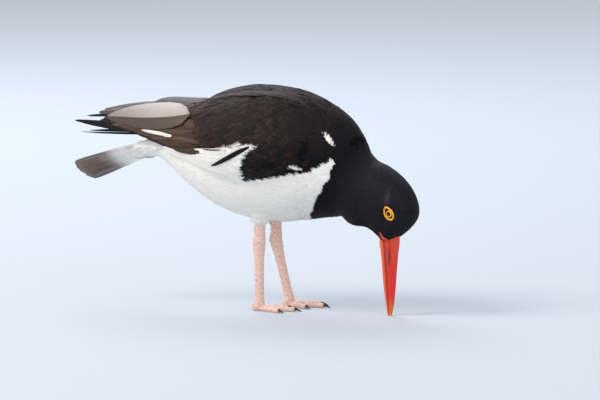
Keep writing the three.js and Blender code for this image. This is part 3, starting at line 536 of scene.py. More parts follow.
ROWS = np.array([0, 0.3, 0.6, 0.82, 0.94, 1.0])
WIDTHS = np.array([0.45, 0.85, 1.0, 0.8, 0.48, 0.1])
SECTION = np.array([(-1, 0), (0, 0.07), (1, 0), (1, -0.05), (-1, -0.05)])
FEATHER_BEND, FEATHER_TONE, FEATHER_TWIST, ROOT_SUNK, THIGH_SHARE = 0.08, 0.1, 0.035, 0.3, 0.55
# The size of a feather's place in the bake map, the bend at which a vane leaves the skin, and how much
# of its length it then keeps.
BAKE_PATCH, SHARP_BEND, PAST_BEND = 0.003, 0.74, 0.35


class Skin:
    """The skin's mesh with what the plumage asks of it."""

    def __init__(self, points, quads):
        self.points, self.quads = points, quads
        self.tree = BVHTree.FromPolygons(points.tolist(), quads.tolist())
        corner = points[quads]
        self.centres = corner.mean(axis=1)
        cross = np.cross(corner[:, 2] - corner[:, 0], corner[:, 3] - corner[:, 1])
        self.areas = np.linalg.norm(cross, axis=1) / 2
        self.normals = self.softened(cross, 6)
        self.place = spine_place(self.centres)[0]
        self.u, self.v, gap = wing_uv(self.centres).T
        self.on_wing = gap < WING_REACH
        self.white = is_white(self.centres)

    def softened(self, cross, rounds):
        """Normals of the faces, softened over their neighbours."""
        for _ in range(rounds):
            corner = np.zeros_like(self.points)
            for k in range(4):
                np.add.at(corner, self.quads[:, k], cross)
            cross = unit(corner)[self.quads].mean(axis=1)
        return unit(cross)

    def scatter(self, spacing, keep):
        """Roots about one spacing apart on the faces that keep marks, and their faces."""
        chosen = np.flatnonzero(keep)
        areas = self.areas[chosen]
        count = int(areas.sum() / spacing**2 * 3.5)
        picks = chosen[rng.choice(len(chosen), count, p=areas / areas.sum())]
        corner = self.points[self.quads[picks]]
        a, b = rng.random((count, 1)), rng.random((count, 1))
        p = mix(mix(corner[:, 0], corner[:, 1], a), mix(corner[:, 3], corner[:, 2], a), b)
        reach = spacing * 0.78
        steps = [(i, j, m) for i in (-1, 0, 1) for j in (-1, 0, 1) for m in (-1, 0, 1)]
        cells, kept = {}, []
        for k, (x, y, z) in enumerate(np.floor(p / reach).astype(int).tolist()):
            near = [cells[c] for c in ((x + i, y + j, z + m) for i, j, m in steps) if c in cells]
            if not near or np.abs(p[near] - p[k]).sum(1).min() > reach * 1.25:
                cells[(x, y, z)] = k
                kept.append(k)
        return p[kept], picks[kept]

    def laid(self, roots, ways, lengths):
        """Centre lines stepped over the skin from the roots, the normals there and which lines lie well;
        past a sharp bend a line goes straight on for a little."""
        p, first = self.nearest(roots)
        out, way, bent = first, ways, np.zeros(len(roots), bool)
        well = np.abs((ways * first).sum(1)) < 0.7
        lines, normals = [p], [out]
        for step in np.diff(ROWS):
            way = unit(way - out * (way * out).sum(1, keepdims=True))
            reach = (lengths * step * np.where(bent, PAST_BEND, 1))[:, None]
            ahead = p + way * reach
            near, normal = self.nearest(ahead)
            bent |= (normal * first).sum(1) < SHARP_BEND
            well &= bent | (np.linalg.norm(near - p - way * reach, axis=1) < 0.5 * reach[:, 0])
            p, out = np.where(bent[:, None], ahead, near), np.where(bent[:, None], out, normal)
            lines.append(p)
            normals.append(out)
        return np.stack(lines, 1), np.stack(normals, 1), well

    def nearest(self, places):
        """The skin's nearest points and their normals."""
        found = [self.tree.find_nearest(q) for q in places.tolist()]
        return np.array([f[0] for f in found]), self.normals[[f[2] for f in found]]

    def feathers(self, roots, ways, length, half, top, fleck=0.0):
        """Contour feathers laid on the skin, painted by where each part of them lies."""
        count = len(roots)
        length = length * (1 + 0.13 * rng.standard_normal(count)).clip(0.65, 1.4)
        half = half * (1 + 0.12 * rng.standard_normal(count)).clip(0.65, 1.4)
        lines, out, whole = self.laid(roots, ways, length)
        top = np.broadcast_to(top, count)
        every = (lines, out, length, half, roots, top)
        lines, out, length, half, roots, top = (part[whole] for part in every)
        count = len(lines)
        along = unit(np.gradient(lines, axis=1))
        across = unit(np.cross(along, out))
        bend = (FEATHER_BEND * rng.standard_normal((count, 1)) * length[:, None] * ROWS)[..., None]
        lines = lines + across * bend
        height = top * (1 + 0.15 * rng.standard_normal(count))
        lift = height[:, None] * ROWS - ROOT_SUNK * (1 - ROWS**0.5)
        s, h = SECTION.T
        twist = (FEATHER_TWIST * rng.standard_normal((count, 1, 1)) * half[:, None, None]) * s
        rise = lift[:, :, None] + h - 0.006 * (half[:, None, None] * s) ** 2 - twist
        wide = (half[:, None] * WIDTHS)[:, :, None] * s
        lines, across, along, out = (part[:, :, None] for part in (lines, across, along, out))
        points = lines + across * wide[..., None] + out * rise[..., None]
        share = np.broadcast_to(ROWS[None, :, None], points.shape[:3])
        tint = plumage_tint(points.reshape(-1, 3), share.ravel()).reshape(points.shape)
        white = tint[..., 1:2] > 0.3
        vary = rng.standard_normal((count, 1, 1, 1))
        tint = tint * np.where(white, 1 + 0.012 * vary, (1 + FEATHER_TONE * vary).clip(0.5, 1.7))
        if fleck:
            warm = (rng.random((count, 1, 1, 1)) ** 3 * fleck) * share[..., None] ** 2
            tint = np.where(white, tint, mix(tint, EDGE_BROWN, warm))
        patch = np.stack(np.broadcast_arrays(ROWS[:, None], (s[None] + 1) / 2), -1) * BAKE_PATCH
        uv = skin_map(roots)[:, None, None] + patch[None]
        return vane_mesh(points, tint, uv, silky(out, across, along, SECTION, ROWS))


# The marking's edges: breast border [height, x], lower edge of the dark shoulder [x, height],
# upper edge of the wing's white patch [u, v] and rear edge of the dark shoulder lobe [v, u].
BREAST_BORDER = [(60, 36), (78, 42), (91, 51), (106, 60.5), (117, 68.5), (135, 72.5), (150, 73)]
SHOULDER_EDGE = [(-14, 140), (-5, 114), (13.6, 116), (38, 121), (52, 122.6), (63, 129), (72, 134)]
PATCH_TOP = [(0.2, 0.37), (0.27, 0.335), (0.383, 0.27), (0.46, 0.18)]
PATCH_TOP += [(0.53, 0.095), (0.6, 0.01), (0.66, -0.1)]
LOBE_REAR = [(-0.1, 0.3), (0, 0.308), (0.1, 0.304), (0.2, 0.284), (0.35, 0.232), (0.5, 0.2)]
# How near the wing's sheet the wing's feathers root, and where the rump begins.
WING_REACH, RUMP_X = 4.0, -86


def wing_places():
    """A finder of the nearest place on either wing's sheet."""
    finders = {}
    for side in (RIGHT, LEFT):
        u, v = np.meshgrid(np.linspace(0, 0.66, 90), np.linspace(-0.02, 1.02, 60), indexing="ij")
        p = wing_point(side, u.ravel(), v.ravel())
        tree = KDTree(len(p))
        for k, q in enumerate(p):
            tree.insert(q, k)
        tree.balance()
        finders[side] = (tree, u.ravel(), v.ravel())
    return finders


WING_FINDERS = wing_places()


def wing_uv(points):
    """u, v and distance of the nearest place on the wing for many points."""
    out = np.empty((len(points), 3))
    for k, p in enumerate(points):
        tree, u, v = WING_FINDERS[LEFT if p[1] > 0 else RIGHT]
        _, index, gap = tree.find(p)
        out[k] = u[index], v[index], gap
    return out


# White flecks seen on the right side: [across, up, slant in degrees, half length, half width].
FLECKS = [(51.2, 144.2, 51, 6.2, 2.2), (22.5, 119.8, 12, 6.0, 1.3), (53.5, 125.5, 40, 3.5, 1.2)]


def flecked(points):
    """Where the small ragged white flecks of the right shoulder lie."""
    marked = np.zeros(len(points), bool)
    for across, up, slant, half_length, half_width in FLECKS:
        right, down = points @ VIEW[1] - across, up - points @ VIEW[2]
        c, s = math.cos(math.radians(slant)), math.sin(math.radians(slant))
        along, beside = c * right + s * down, s * right - c * down
        ragged = 1 + 0.35 * np.sin(along * 1.9 + 0.7) * np.sin(beside * 1.3)
        marked |= np.hypot(along / half_length, beside / (half_width - 0.12 * along).clip(0.3)) < ragged
    return marked & (points[:, 1] < -10)


def is_white(points):
    """Where the body's own plumage is white: belly, flanks, rump, tail base and the wing's patch."""
    x, y, z = points.T
    wave = 0.7 * np.sin(z * 0.55 + y * 0.2) + 0.5 * np.sin(y * 0.7)
    behind = x < along_curve(BREAST_BORDER, z) + wave
    below = (z < along_curve(SHOULDER_EDGE, x) + 0.6 * np.sin(x * 0.9)) | (x < RUMP_X)
    u, v, gap = wing_uv(points).T
    patch = (v < along_curve(PATCH_TOP, u)) & (u > along_curve(LOBE_REAR, v))
    return np.where(gap < WING_REACH + 0.7, patch, behind & below) | flecked(points)


def dark_tint(points):
    """The dark plumage's tint: blue-black head, black breast, brown-black back, browner behind."""
    place = spine_place(points)[0]
    x, _, z = points.T
    stops = [0, 0.2, 0.27, 0.33, 0.42, 0.6, 0.75, 1]
    sides = []
    for middle in ([BREAST_BLACK, BREAST_BLACK, MANTLE_BLACK], [MANTLE_BLACK, MANTLE_BLACK, SCAPULAR_BROWN]):
        tones = [HEAD_BLACK, HEAD_BLACK, BREAST_BLACK, *middle, REAR_BROWN, REAR_BROWN]
        sides.append(np.stack([np.interp(place, stops, c) for c in np.array(tones).T], -1))
    tint = mix(*sides, ramp(z, 128, 153)[:, None])
    rel = points - BILL_FOOT
    # Painted highlight: the crown above the eye is painted a paler blue-grey where a soft sheen lies.
    streak = bell(rel @ CROWN, 8.7, 2.2) * bell(z, 102, 6.5) * (x > 90)
    tint = mix(tint, PAINTED_CROWN_SHEEN, streak[:, None] * 0.6)
    brown = (ramp(x, -42, -72) * ramp(z, 176, 150))[:, None] * 0.75
    return mix(tint, TERTIAL_BROWN, brown)


def plumage_tint(points, share):
    """The plumage's tint at points a share of the way along their feathers, paler at the tips, with painted
    shade on the white low at the front.
    """
    white = is_white(points)[:, None]
    fade = (0.85 + 0.3 * np.asarray(share) ** 1.5)[:, None]
    # Painted shade: the white turns towards SHADE_WHITE low on the front of the body, where shade falls.
    low = ramp(points[:, 2], 112, 74)[:, None]
    front = ramp(points[:, 0], -30, 60)[:, None]
    pale = mix(BELLY_WHITE, SHADE_WHITE, low * front)
    return np.where(white, pale * (0.97 + 0.03 * fade), dark_tint(points) * fade)


def lie(points):
    """The way the plumage lies: back along the spine, down on the thighs."""
    _, way = spine_place(points)
    x, z = points[:, 0], points[:, 2]
    flank = ramp(np.abs(x - 10), 110, 0) * ramp(z, 90, 150)
    way = way + np.stack([0 * x, 0 * x, -0.22 * flank], -1)
    thigh = ramp(z, 86, 78) * ramp(np.abs(x), 16, 11)
    way = way + thigh[:, None] * np.array([0.6, 0, -1.6])
    return unit(way)


def wing_lie(side, u, v, fall):
    """The way feathers lie on the wing: towards the tip and down by the given share."""
    step = 0.02
    return unit(wing_point(side, u + step, v - step * 3 * fall) - wing_point(side, u, v))


LONG_ROWS = np.array([0, 0.08, 0.2, 0.35, 0.5, 0.65, 0.78, 0.87, 0.94, 0.98, 1.0])
LONG_SECTION = np.array(
    [(-1, 0), (-0.7, 0.1), (-0.35, 0.16), (-0.05, 0.2), (0, 0.42), (0.05, 0.2)]
    + [(0.35, 0.16), (0.7, 0.1), (1, 0), (1, -0.05), (0, -0.14), (-1, -0.05)]
)
ROUND_TIP = np.array([0.3, 0.6, 0.85, 0.97, 1.0, 1.0, 0.95, 0.82, 0.6, 0.38, 0.1])
POINTED_TIP = np.array([0.4, 0.7, 0.9, 1.0, 0.97, 0.9, 0.76, 0.6, 0.4, 0.24, 0.06])
# How a feather runs on beyond the end of the wing's sheet, for each whole share of its length.
PAST_TIP = np.array([-250.0, 0, -20])
BLUNT_TIP = np.array([0.7, 0.85, 0.95, 1.0, 1.0, 1.0, 0.99, 0.95, 0.86, 0.68, 0.3])


def packed_uv(count, first, total):
    """A cell of the bake map for each of count long feathers, from the first of total."""
    columns = math.ceil(math.sqrt(total))
    index = first + np.arange(count)
    corner = np.stack([index % columns, index // columns], -1) / columns
    cell = np.stack(np.broadcast_arrays(LONG_ROWS[:, None], (LONG_SECTION[None, :, 0] + 1) / 2), -1)
    return corner[:, None, None] + (cell * 0.9 + 0.05)[None] / columns


def wing_vanes(side, roots, tips, half, low, high, paint, shape=ROUND_TIP, bow=0.0, tilt=0.25, first=0):
    """Long feathers that follow the wing's sheet from roots to tips, both rows of (u, v).
    half is in millimetres, or a pair of lists, below and above the shaft."""
    roots, tips = np.atleast_2d(np.asarray(roots, float)), np.atleast_2d(np.asarray(tips, float))
    count, t = len(roots), LONG_ROWS
    u = mix(roots[:, :1], tips[:, :1], t)
    v = mix(roots[:, 1:], tips[:, 1:], t) + np.reshape(bow, (-1, 1)) * 4 * t * (1 - t)
    s, h = LONG_SECTION.T
    if isinstance(half, tuple):
        below, above = (np.broadcast_to(np.asarray(part, float), (count, len(t))) for part in half)
    else:
        below = above = np.reshape(half, (-1, 1)) * shape[None] * np.ones((count, 1))
    upward = -s * side
    offset = np.where(upward > 0, above[:, :, None], below[:, :, None]) * upward
    step = 0.02
    gap = wing_point(side, u.ravel(), v.ravel() + step) - wing_point(side, u.ravel(), v.ravel() - step)
    gap = np.linalg.norm(gap, axis=1).reshape(count, len(t), 1) / (2 * step)
    uu = np.broadcast_to(u[:, :, None], offset.shape).ravel()
    vv = (v[:, :, None] + offset / gap).ravel()
    flat = wing_point(side, uu, vv) + np.maximum(uu - 1, 0)[:, None] * PAST_TIP
    out = wing_normal(side, uu, vv).reshape(*offset.shape, 3)
    lift = np.reshape(low, (-1, 1)) * (1 - t**0.7) + np.reshape(high, (-1, 1)) * t**0.7
    rise = np.broadcast_to(lift, (count, len(t)))[:, :, None] + h + tilt * upward
    points = flat.reshape(*offset.shape, 3) + out * rise[..., None]
    along = unit(np.gradient(points, axis=1))
    normals = silky(out, unit(np.cross(along, out)), along, LONG_SECTION, t, 0.2)
    return vane_mesh(points, paint(count, t[:, None], upward[None, :]), packed_uv(count, first, 60), normals)


def web_paint(body, edge, shaft=None, root=None, edge_width=0.2, streak=0.1):
    """A painter of vanes: body tint, paler edge, shaft and root."""
    shaft = body * 0.7 if shaft is None else shaft
    root = body if root is None else root

    def paint(count, t, s):
        t, s = np.broadcast_arrays(t, s)
        edge_share = np.maximum(ramp(np.abs(s), 1 - edge_width, 1), ramp(t, 0.9, 1)) * 0.7
        tint = mix(body, root, ramp(t, 0.5, 0)[..., None])
        tint = mix(tint, edge, edge_share[..., None])
        tint = mix(tint, shaft, (np.abs(s) < 0.02).astype(float)[..., None])
        tone = 1 + streak * rng.standard_normal((count, 1, 1, 1)).clip(-2, 2)
        fine = 1 + 0.4 * streak * rng.standard_normal((count, *t.shape, 1))
        return tint[None] * tone * fine

    return paint


def spread(low, high, count, jitter):
    """Evenly spread (u, v) pairs from low to high with a little variation."""
    even = mix(np.asarray(low), np.asarray(high), np.linspace(0, 1, count)[:, None])
    return even + jitter * rng.standard_normal((count, 2))


# Settings.


def colour_setting(name, about, hex_colour):
    return bpy.props.FloatVectorProperty(
        name=name, description=about, subtype="COLOR", default=tuple(linear(hex_colour))
    )


def number_setting(name, about, default, **more):
    return bpy.props.FloatProperty(name=name, description=about, default=default, **more)


class BirdSettings(bpy.types.PropertyGroup):
    """Spacing of the feathers and colours of the bare parts"""

    head_spacing: number_setting(
        "Head feather spacing", "Millimetres between feather roots on the head", 1.42, min=0.8, max=4
    )
    body_spacing: number_setting(
        "Body feather spacing", "Millimetres between feather roots on the body", 2.25, min=1.5, max=8
    )
    bill_colour: colour_setting("Bill colour", "Main colour of the bill's horn", "#e5301c")
    leg_colour: colour_setting("Leg colour", "Main colour of the legs' skin", "#ecc9ba")
    iris_colour: colour_setting("Iris colour", "Colour of the iris", "#f2b81f")


class StageSettings(bpy.types.PropertyGroup):
    """Size of the floor and place of the camera"""

    floor_radius: number_setting("Floor radius", "Radius of the pale floor", 14.0, subtype="DISTANCE")
    camera_distance: number_setting(
        "Camera distance", "Distance from the bird to the camera", 8.0, subtype="DISTANCE"
    )


FLESH_NODES = ["torso", "breast", "neck", "head", "mantle", "thigh_right", "thigh_left"]
SIDES = ((RIGHT, "right"), (LEFT, "left"))


def ankle(side):
    return np.array([ANKLE_X, side * LEG_Y, FOOT_HEIGHT + TARSUS_LENGTH * math.cos(LEG_LEAN[side])])


def foot(side):
    a = ankle(side)
    return np.array([a[0] + TARSUS_LENGTH * math.sin(LEG_LEAN[side]), a[1], FOOT_HEIGHT])


def hip(side):
    return np.array([ANKLE_X + 2, side * (LEG_Y - 1), 96.0])


def limb(start, end, stations, sides=20, rings=24, relief=None):
    """A limb with an oval section from start to end; relief(t, angle) swells its surface."""
    axis = unit(end - start)
    across = np.array([0.0, 1.0, 0.0])
    fore = np.cross(across, axis)
    t = np.linspace(0, 1, rings)
    depth, width = profile(stations, t).T
    centres = start + (end - start) * t[:, None]
    rings_out = ovals(centres, across * width[:, None], fore * depth[:, None], sides)
    if relief is not None:
        angle = np.linspace(0, 2 * math.pi, sides, endpoint=False)
        swell = 1 + relief(t[:, None], angle[None, :])
        rings_out = centres[:, None] + (rings_out - centres[:, None]) * swell[..., None]
    return loft(rings_out)


class BIRD_OT_skin(bpy.types.Operator):
    """One skin under the plumage of the trunk, neck, head, wings and thighs"""

    bl_idname = "bird.skin"
    bl_label = "Skin"

    def execute(self, context):
        MATERIALS.update(make_materials())
        solids = [loft(torso_rings(-TRUNK_COAT)), loft(neck_rings(-NECK_COAT))]
        for side, _ in SIDES:
            u, v = np.linspace(*PLATE_U, 40), np.linspace(*PLATE_V, 40)
            wrist = 9 * (np.maximum(0.1 - u, 0) / 0.1) ** 1.6
            back, below = np.maximum(v - 0.98, 0) / 0.18, np.maximum(0.03 - v, 0) / 0.27
            high = -WING_COAT - wrist[:, None] - (7 * back + 10 * below**1.2)
            solids.append(sheet_solid(side, u, v, -PLATE_DEPTH, np.maximum(high, 0.5 - PLATE_DEPTH)))
            thigh = [(0, 12, 10), (0.5, 9.6, 8), (0.85, 6.6, 5.4), (1, 5.2, 4.4)]
            solids.append(limb(hip(side), mix(hip(side), ankle(side), 0.62), thigh))
        points, quads = self.without_sockets(*remeshed(solids, BODY_VOXEL, 12))
        SKIN["whole"] = Skin(points, quads)
        tint = plumage_tint(points, np.zeros(len(points))) * 0.9
        uv = skin_map(points)
        make_piece("skin", points, quads, "skin", "black_plumage", tint, uv, replaces=FLESH_NODES)
        return {"FINISHED"}

    def without_sockets(self, points, quads):
        """The skin with each eye's dish pressed into the face."""
        for side, _ in SIDES:
            middle = eye_centre(side)
            rel = points - middle
            flat = np.hypot(rel @ CROWN / 5.6, rel[:, 2] / 6.8)
            outward = rel @ LATERAL * side
            near = (flat < 1.25) & (outward > -2)
            depth = ramp(flat[near], 1.25, 0.9)
            limit = RING_DEPTH - EYE_DEPTH - 1.0
            push = np.maximum(outward[near] - limit, 0) * depth
            points[near] -= LATERAL * side * push[:, None]
        return points, quads


class BIRD_OT_contour_feathers(bpy.types.Operator):
    """Contour feathers of the head, neck, breast, belly and back"""

    bl_idname = "bird.contour_feathers"
    bl_label = "Contour feathers"

    def execute(self, context):
        settings = context.scene.bird
        skin = SKIN["whole"]
        place, x, z = skin.place, skin.centres[:, 0], skin.centres[:, 2]
        body = (place >= 0.33) & ~skin.on_wing
        front = (x > 36) & (z < 150)
        pale, left = body & skin.white, skin.centres[:, 1] > 0
        head, fine = settings.head_spacing, settings.body_spacing
        # Each zone: faces, spacing, length, half width, height of the tips, slot, finish.
        dark, brown, white = (f"{name}_plumage" for name in ("black", "brown", "white"))
        face, crown, neck = place < 0.085, (place >= 0.085) & (place < 0.21), (place >= 0.21) & (place < 0.33)
        breast, back = body & ~skin.white & front, body & ~skin.white & ~front
        zones = {
            "face_coat": (face, head * 0.66, 2.6, 0.6, 0.22, dark, "contour"),
            "head_coat": (crown, head * 0.95, 4.8, 0.95, 0.35, dark, "contour"),
            "neck_coat": (neck, head * 1.35, 7.5, 1.5, 0.5, dark, "contour"),
            "breast_coat": (breast, fine * 1.02, 9.0, 1.9, 0.5, dark, "contour"),
            "belly_coat_right": (pale & ~left, fine * 0.9, 14.0, 1.9, 0.28, white, "white"),
            "belly_coat_left": (pale & left, fine * 0.9, 14.0, 1.9, 0.28, white, "white"),
            "back_coat": (back, fine * 1.25, 18.0, 3.4, 0.45, brown, "contour"),
        }
        for name, (keep, spacing, length, half, top, slot, finish) in zones.items():
            roots, _ = skin.scatter(spacing, keep & (x > TORSO[0][0] + 9))
            roots = roots[self.clear_of_bare_parts(roots)]
            size = np.where((roots[:, 2] < 79) & (np.abs(roots[:, 0]) < 14), THIGH_SHARE, 1.0)
            points, faces, *rest = skin.feathers(roots, lie(roots), length * size, half * size, top * size)
            make_piece(name, points, faces, finish, slot, *rest)
        return {"FINISHED"}

    def clear_of_bare_parts(self, roots):
        """Roots away from the eye rings and the foot of the bill."""
        clear = np.ones(len(roots), bool)
        for side, _ in SIDES:
            rel = roots - head_point(EYE_CROWN, side * RING_DEPTH, EYE_HEIGHT)
            lean = math.radians(RING_SLANT)
            across = rel @ CROWN * math.cos(lean) + rel[:, 2] * math.sin(lean)
            along = rel[:, 2] * math.cos(lean) - rel @ CROWN * math.sin(lean)
            near = np.abs(rel @ LATERAL) < 12
            clear &= ~(near & (np.hypot(across / (RING_BREADTH + 0.3), along / (RING_LENGTH + 0.3)) < 1))
        rel = roots - head_point(0, 0, 0)
        crown, z = rel @ CROWN, rel[:, 2]
        t = ramp(z, 62.5, 73)
        gape = (np.abs(crown - 3.6 + 4.0 * t**0.8) < 4.2 * (1 - t) ** 1.1 + 0.4) & (z < 73.3)
        bill = np.hypot(crown / 7.5, rel @ LATERAL / 5.0)
        return clear & ~gape & ~((z < 66) & (bill < 1))


class BIRD_OT_wings(bpy.types.Operator):
    """Feathers of both folded wings, tier by tier"""

    bl_idname = "bird.wings"
    bl_label = "Wings"

    def execute(self, context):
        fine = context.scene.bird.body_spacing
        skin = SKIN["whole"]
        for side, label in SIDES:
            mine = skin.on_wing & (skin.centres[:, 1] * side > 0)
            dark = mine & ~skin.white
            lobe = skin.u < along_curve(LOBE_REAR, skin.v) + 0.02
            behind = ~lobe & (skin.u < 0.57)
            coverts = self.coat(side, dark & lobe, fine * 1.25, 17, 3.3, 0.4, 0.42)
            scapulars = self.coat(side, dark & behind, fine * 1.4, 22, 4.0, 0.5, 0.36)
            patch = self.coat(side, mine & skin.white, fine * 1.1, 18, 2.6, 0.25, 0.12)
            for kind, nodes, groups, slot, finish in (
                ("covert", ["coverts"], [coverts], "black", "contour"),
                ("scapular", ["scapulars"], [scapulars], "brown", "contour"),
                ("patch", [], [patch], "white", "white"),
                ("secondary", ["secondaries"], self.secondaries(side), "white", "white"),
                ("tertial", ["tertials"], self.tertials(side), "brown", "flight"),
                ("primary", ["primaries"], self.primaries(side), "brown", "flight"),
            ):
                points, faces, *rest = joined(groups)
                name = f"wing_{label}_{kind}_feathers"
                nodes = [f"wing_{label}_{node}" for node in nodes]
                make_piece(name, points, faces, finish, f"{slot}_plumage", *rest, nodes)
        return {"FINISHED"}

    def coat(self, side, keep, spacing, length, half, top, fall):
        skin = SKIN["whole"]
        roots, picks = skin.scatter(spacing, keep)
        u, v = skin.u[picks], skin.v[picks]
        fall = fall * np.clip((1.02 - v) / 0.25, 0.1, 1)
        return skin.feathers(roots, wing_lie(side, u, v, fall), length, half, top, fleck=0.2)

    def tier(self, side, ends, count, half, low, high, paint, shape=ROUND_TIP, first=0, jitter=0.006):
        """A fan of feathers: first and last root, first and last tip, both (u, v)."""
        halves = half * (1 + 0.08 * rng.standard_normal(count))
        highs = high + 0.1 * rng.standard_normal(count)
        roots, tips = (spread(*row, count, jitter) for row in ends)
        return wing_vanes(side, roots, tips, halves, low, highs, paint, shape, 0.01, first=first)

    def tiers(self, side, rows):
        return [self.tier(side, *row) for row in rows]

    def secondaries(self, side):
        white = web_paint(BELLY_WHITE, BELLY_WHITE, SHADE_WHITE, streak=0.015)
        rows = [
            ((((0.35, 0.03), (0.31, 0.24)), ((0.57, 0.0), (0.52, 0.12))), 7, 5.0, -2.3, -1.1),
            ((((0.46, 0.0), (0.46, 0.12)), ((0.67, -0.02), (0.66, 0.1))), 5, 4.6, -2.5, -1.4),
            ((((0.54, 0.04), (0.56, 0.3)), ((0.76, 0.08), (0.8, 0.24))), 5, 4.4, -3.4, -2.2),
        ]
        return self.tiers(side, [(*row, white, ROUND_TIP, first) for row, first in zip(rows, (0, 7, 12))])

    def tertials(self, side):
        brown = web_paint(TERTIAL_BROWN, EDGE_BROWN, PALE_WEB * 0.4, REAR_BROWN, streak=0.14)
        lower = web_paint(TERTIAL_BROWN, EDGE_BROWN, PALE_WEB * 0.4, REAR_BROWN, 0.35, 0.3)
        dark = web_paint(REAR_BROWN * 0.8, TERTIAL_BROWN)
        pale = web_paint(PALE_WEB * 0.4, PALE_WEB * 0.6, root=TERTIAL_BROWN, streak=0.06)
        top = ((0.5, 0.8), (0.5, 1.0)), ((0.8, 0.84), (0.76, 1.0))
        under = ((0.48, 0.1), (0.5, 0.34)), ((0.7, 0.0), (0.9, 0.1))
        low = ((0.47, 0.14), (0.53, 0.45)), ((0.62, 0.04), (0.9, 0.14))
        middle = ((0.5, 0.4), (0.52, 0.56)), ((0.72, 0.24), (0.86, 0.26))
        made = self.tiers(
            side,
            [
                (top, 4, 6.5, -2.4, -0.2, dark),
                (under, 6, 3.2, -2.2, -0.9, dark, POINTED_TIP, 4),
                (low, 12, 2.7, -1.9, 0.1, lower, POINTED_TIP, 10, 0.01),
                (middle, 5, 4.6, -1.9, 0.4, brown, ROUND_TIP, 22),
            ],
        )
        if side == LEFT:
            broad = ((0.5, 0.55), (0.5, 0.82)), ((0.9, 0.4), (0.88, 0.82))
            return made + self.tiers(side, [(broad, 3, 8.5, -2.0, 0.8, pale, ROUND_TIP, 27)])
        lower_web = [0.3, 8.0, 9.8, 9.6, 9.2, 7.8, 6.0, 5.0, 3.8, 2.0, 0.4]
        upper_web = [0.3, 8.5, 14.0, 15.6, 15.0, 13.8, 11.6, 9.2, 5.6, 2.8, 0.4]
        webs = (lower_web, upper_web)
        ends = (0.542, 0.65), (0.915, 0.38)
        loose = wing_vanes(side, *ends, webs, 1.5, 1.8, self.two_webs, bow=-0.03, first=30)
        blade = web_paint(BREAST_BLACK * 1.5, MANTLE_BLACK, streak=0.05)
        sliver = web_paint(BELLY_WHITE, BELLY_WHITE, streak=0.02)
        line = web_paint(SCAPULAR_BROWN, TERTIAL_BROWN, streak=0.05)
        slips = [
            ((0.262, 0.31), (0.43, 0.055), 2.4, -1.7, -0.1, blade),
            ((0.63, 0.245), (0.762, 0.19), 1.5, 1.0, 1.0, sliver),
            ((0.612, 0.25), (0.662, 0.215), 1.3, 1.2, 1.2, sliver),
            ((0.38, 0.25), (0.47, 0.21), 0.6, -0.8, -0.4, line),
        ]
        made.append(loose)
        for first, slip in enumerate(slips, 31):
            made.append(wing_vanes(side, *slip, POINTED_TIP, 0.0, 0.1, first))
        return made

    def two_webs(self, count, t, s):
        """The loose broad tertial: a pale grey web above a dark shaft, its paleness partly a painted sheen,
        grey-brown web below.
        """
        t, s = np.broadcast_arrays(t, s)
        up = (s > 0.02)[..., None]
        far = ramp(t, 0.45, 0.95)[..., None]
        # Painted sheen: the upper web's pale grey is the web's own grey with a painted sheen on it, fading
        # towards the tip.
        high = mix(PALE_WEB, PALE_WEB * 0.62, far)
        low = mix(GREY_BROWN, GREY_BROWN * 0.85, far)
        deep = ramp(np.abs(s), 0.5, 0)[..., None]
        tint = np.where(up, high * (1 - 0.1 * deep), low * (1 - 0.3 * deep))
        tint = mix(tint, EDGE_BROWN, ramp(t, 0.1, 0)[..., None] * 0.4)
        tint = np.where((np.abs(s) < 0.02)[..., None], TERTIAL_BROWN, tint)
        return np.repeat(tint[None], count, 0)

    def primaries(self, side):
        black = web_paint(PRIMARY_BLACK, PRIMARY_BLACK * 1.4, streak=0.05)
        # Painted sunlight: these primaries are the same dark brown feathers as the black ones, painted
        # grey-brown where the sun lights them.
        sunlit_grey = web_paint(GREY_BROWN * 0.75, GREY_BROWN, root=TERTIAL_BROWN, streak=0.08)
        roots_grey = [(0.72, 0.62), (0.7, 0.76), (0.7, 0.9), (0.72, 0.5)]
        tips_grey = [(0.96, 0.78), (0.955, 0.98), (0.935, 1.08), (0.93, 0.6)]
        roots_black = [(0.78, 0.6), (0.78, 0.56), (0.76, 0.2), (0.76, 0.12)]
        tips_black = [(0.99, 0.68), (0.98, 0.6), (1.014, 0.06), (1.008, -0.08)]
        halves = [2.6, 2.4, 3.2, 2.8]
        if side == LEFT:
            tips_black = [(0.96, 0.6), (0.955, 0.5), (0.97, 0.06), (0.985, -0.1)]
            halves = [2.4, 2.4, 2.0, 1.2]
        return [
            wing_vanes(side, roots_grey, tips_grey, [5.5, 5.0, 4.0, 5.5], -2.4, -0.8, sunlit_grey),
            wing_vanes(side, roots_black, tips_black, halves, -4.0, -2.6, black, POINTED_TIP, 0.0, 0.15, 4),
        ]


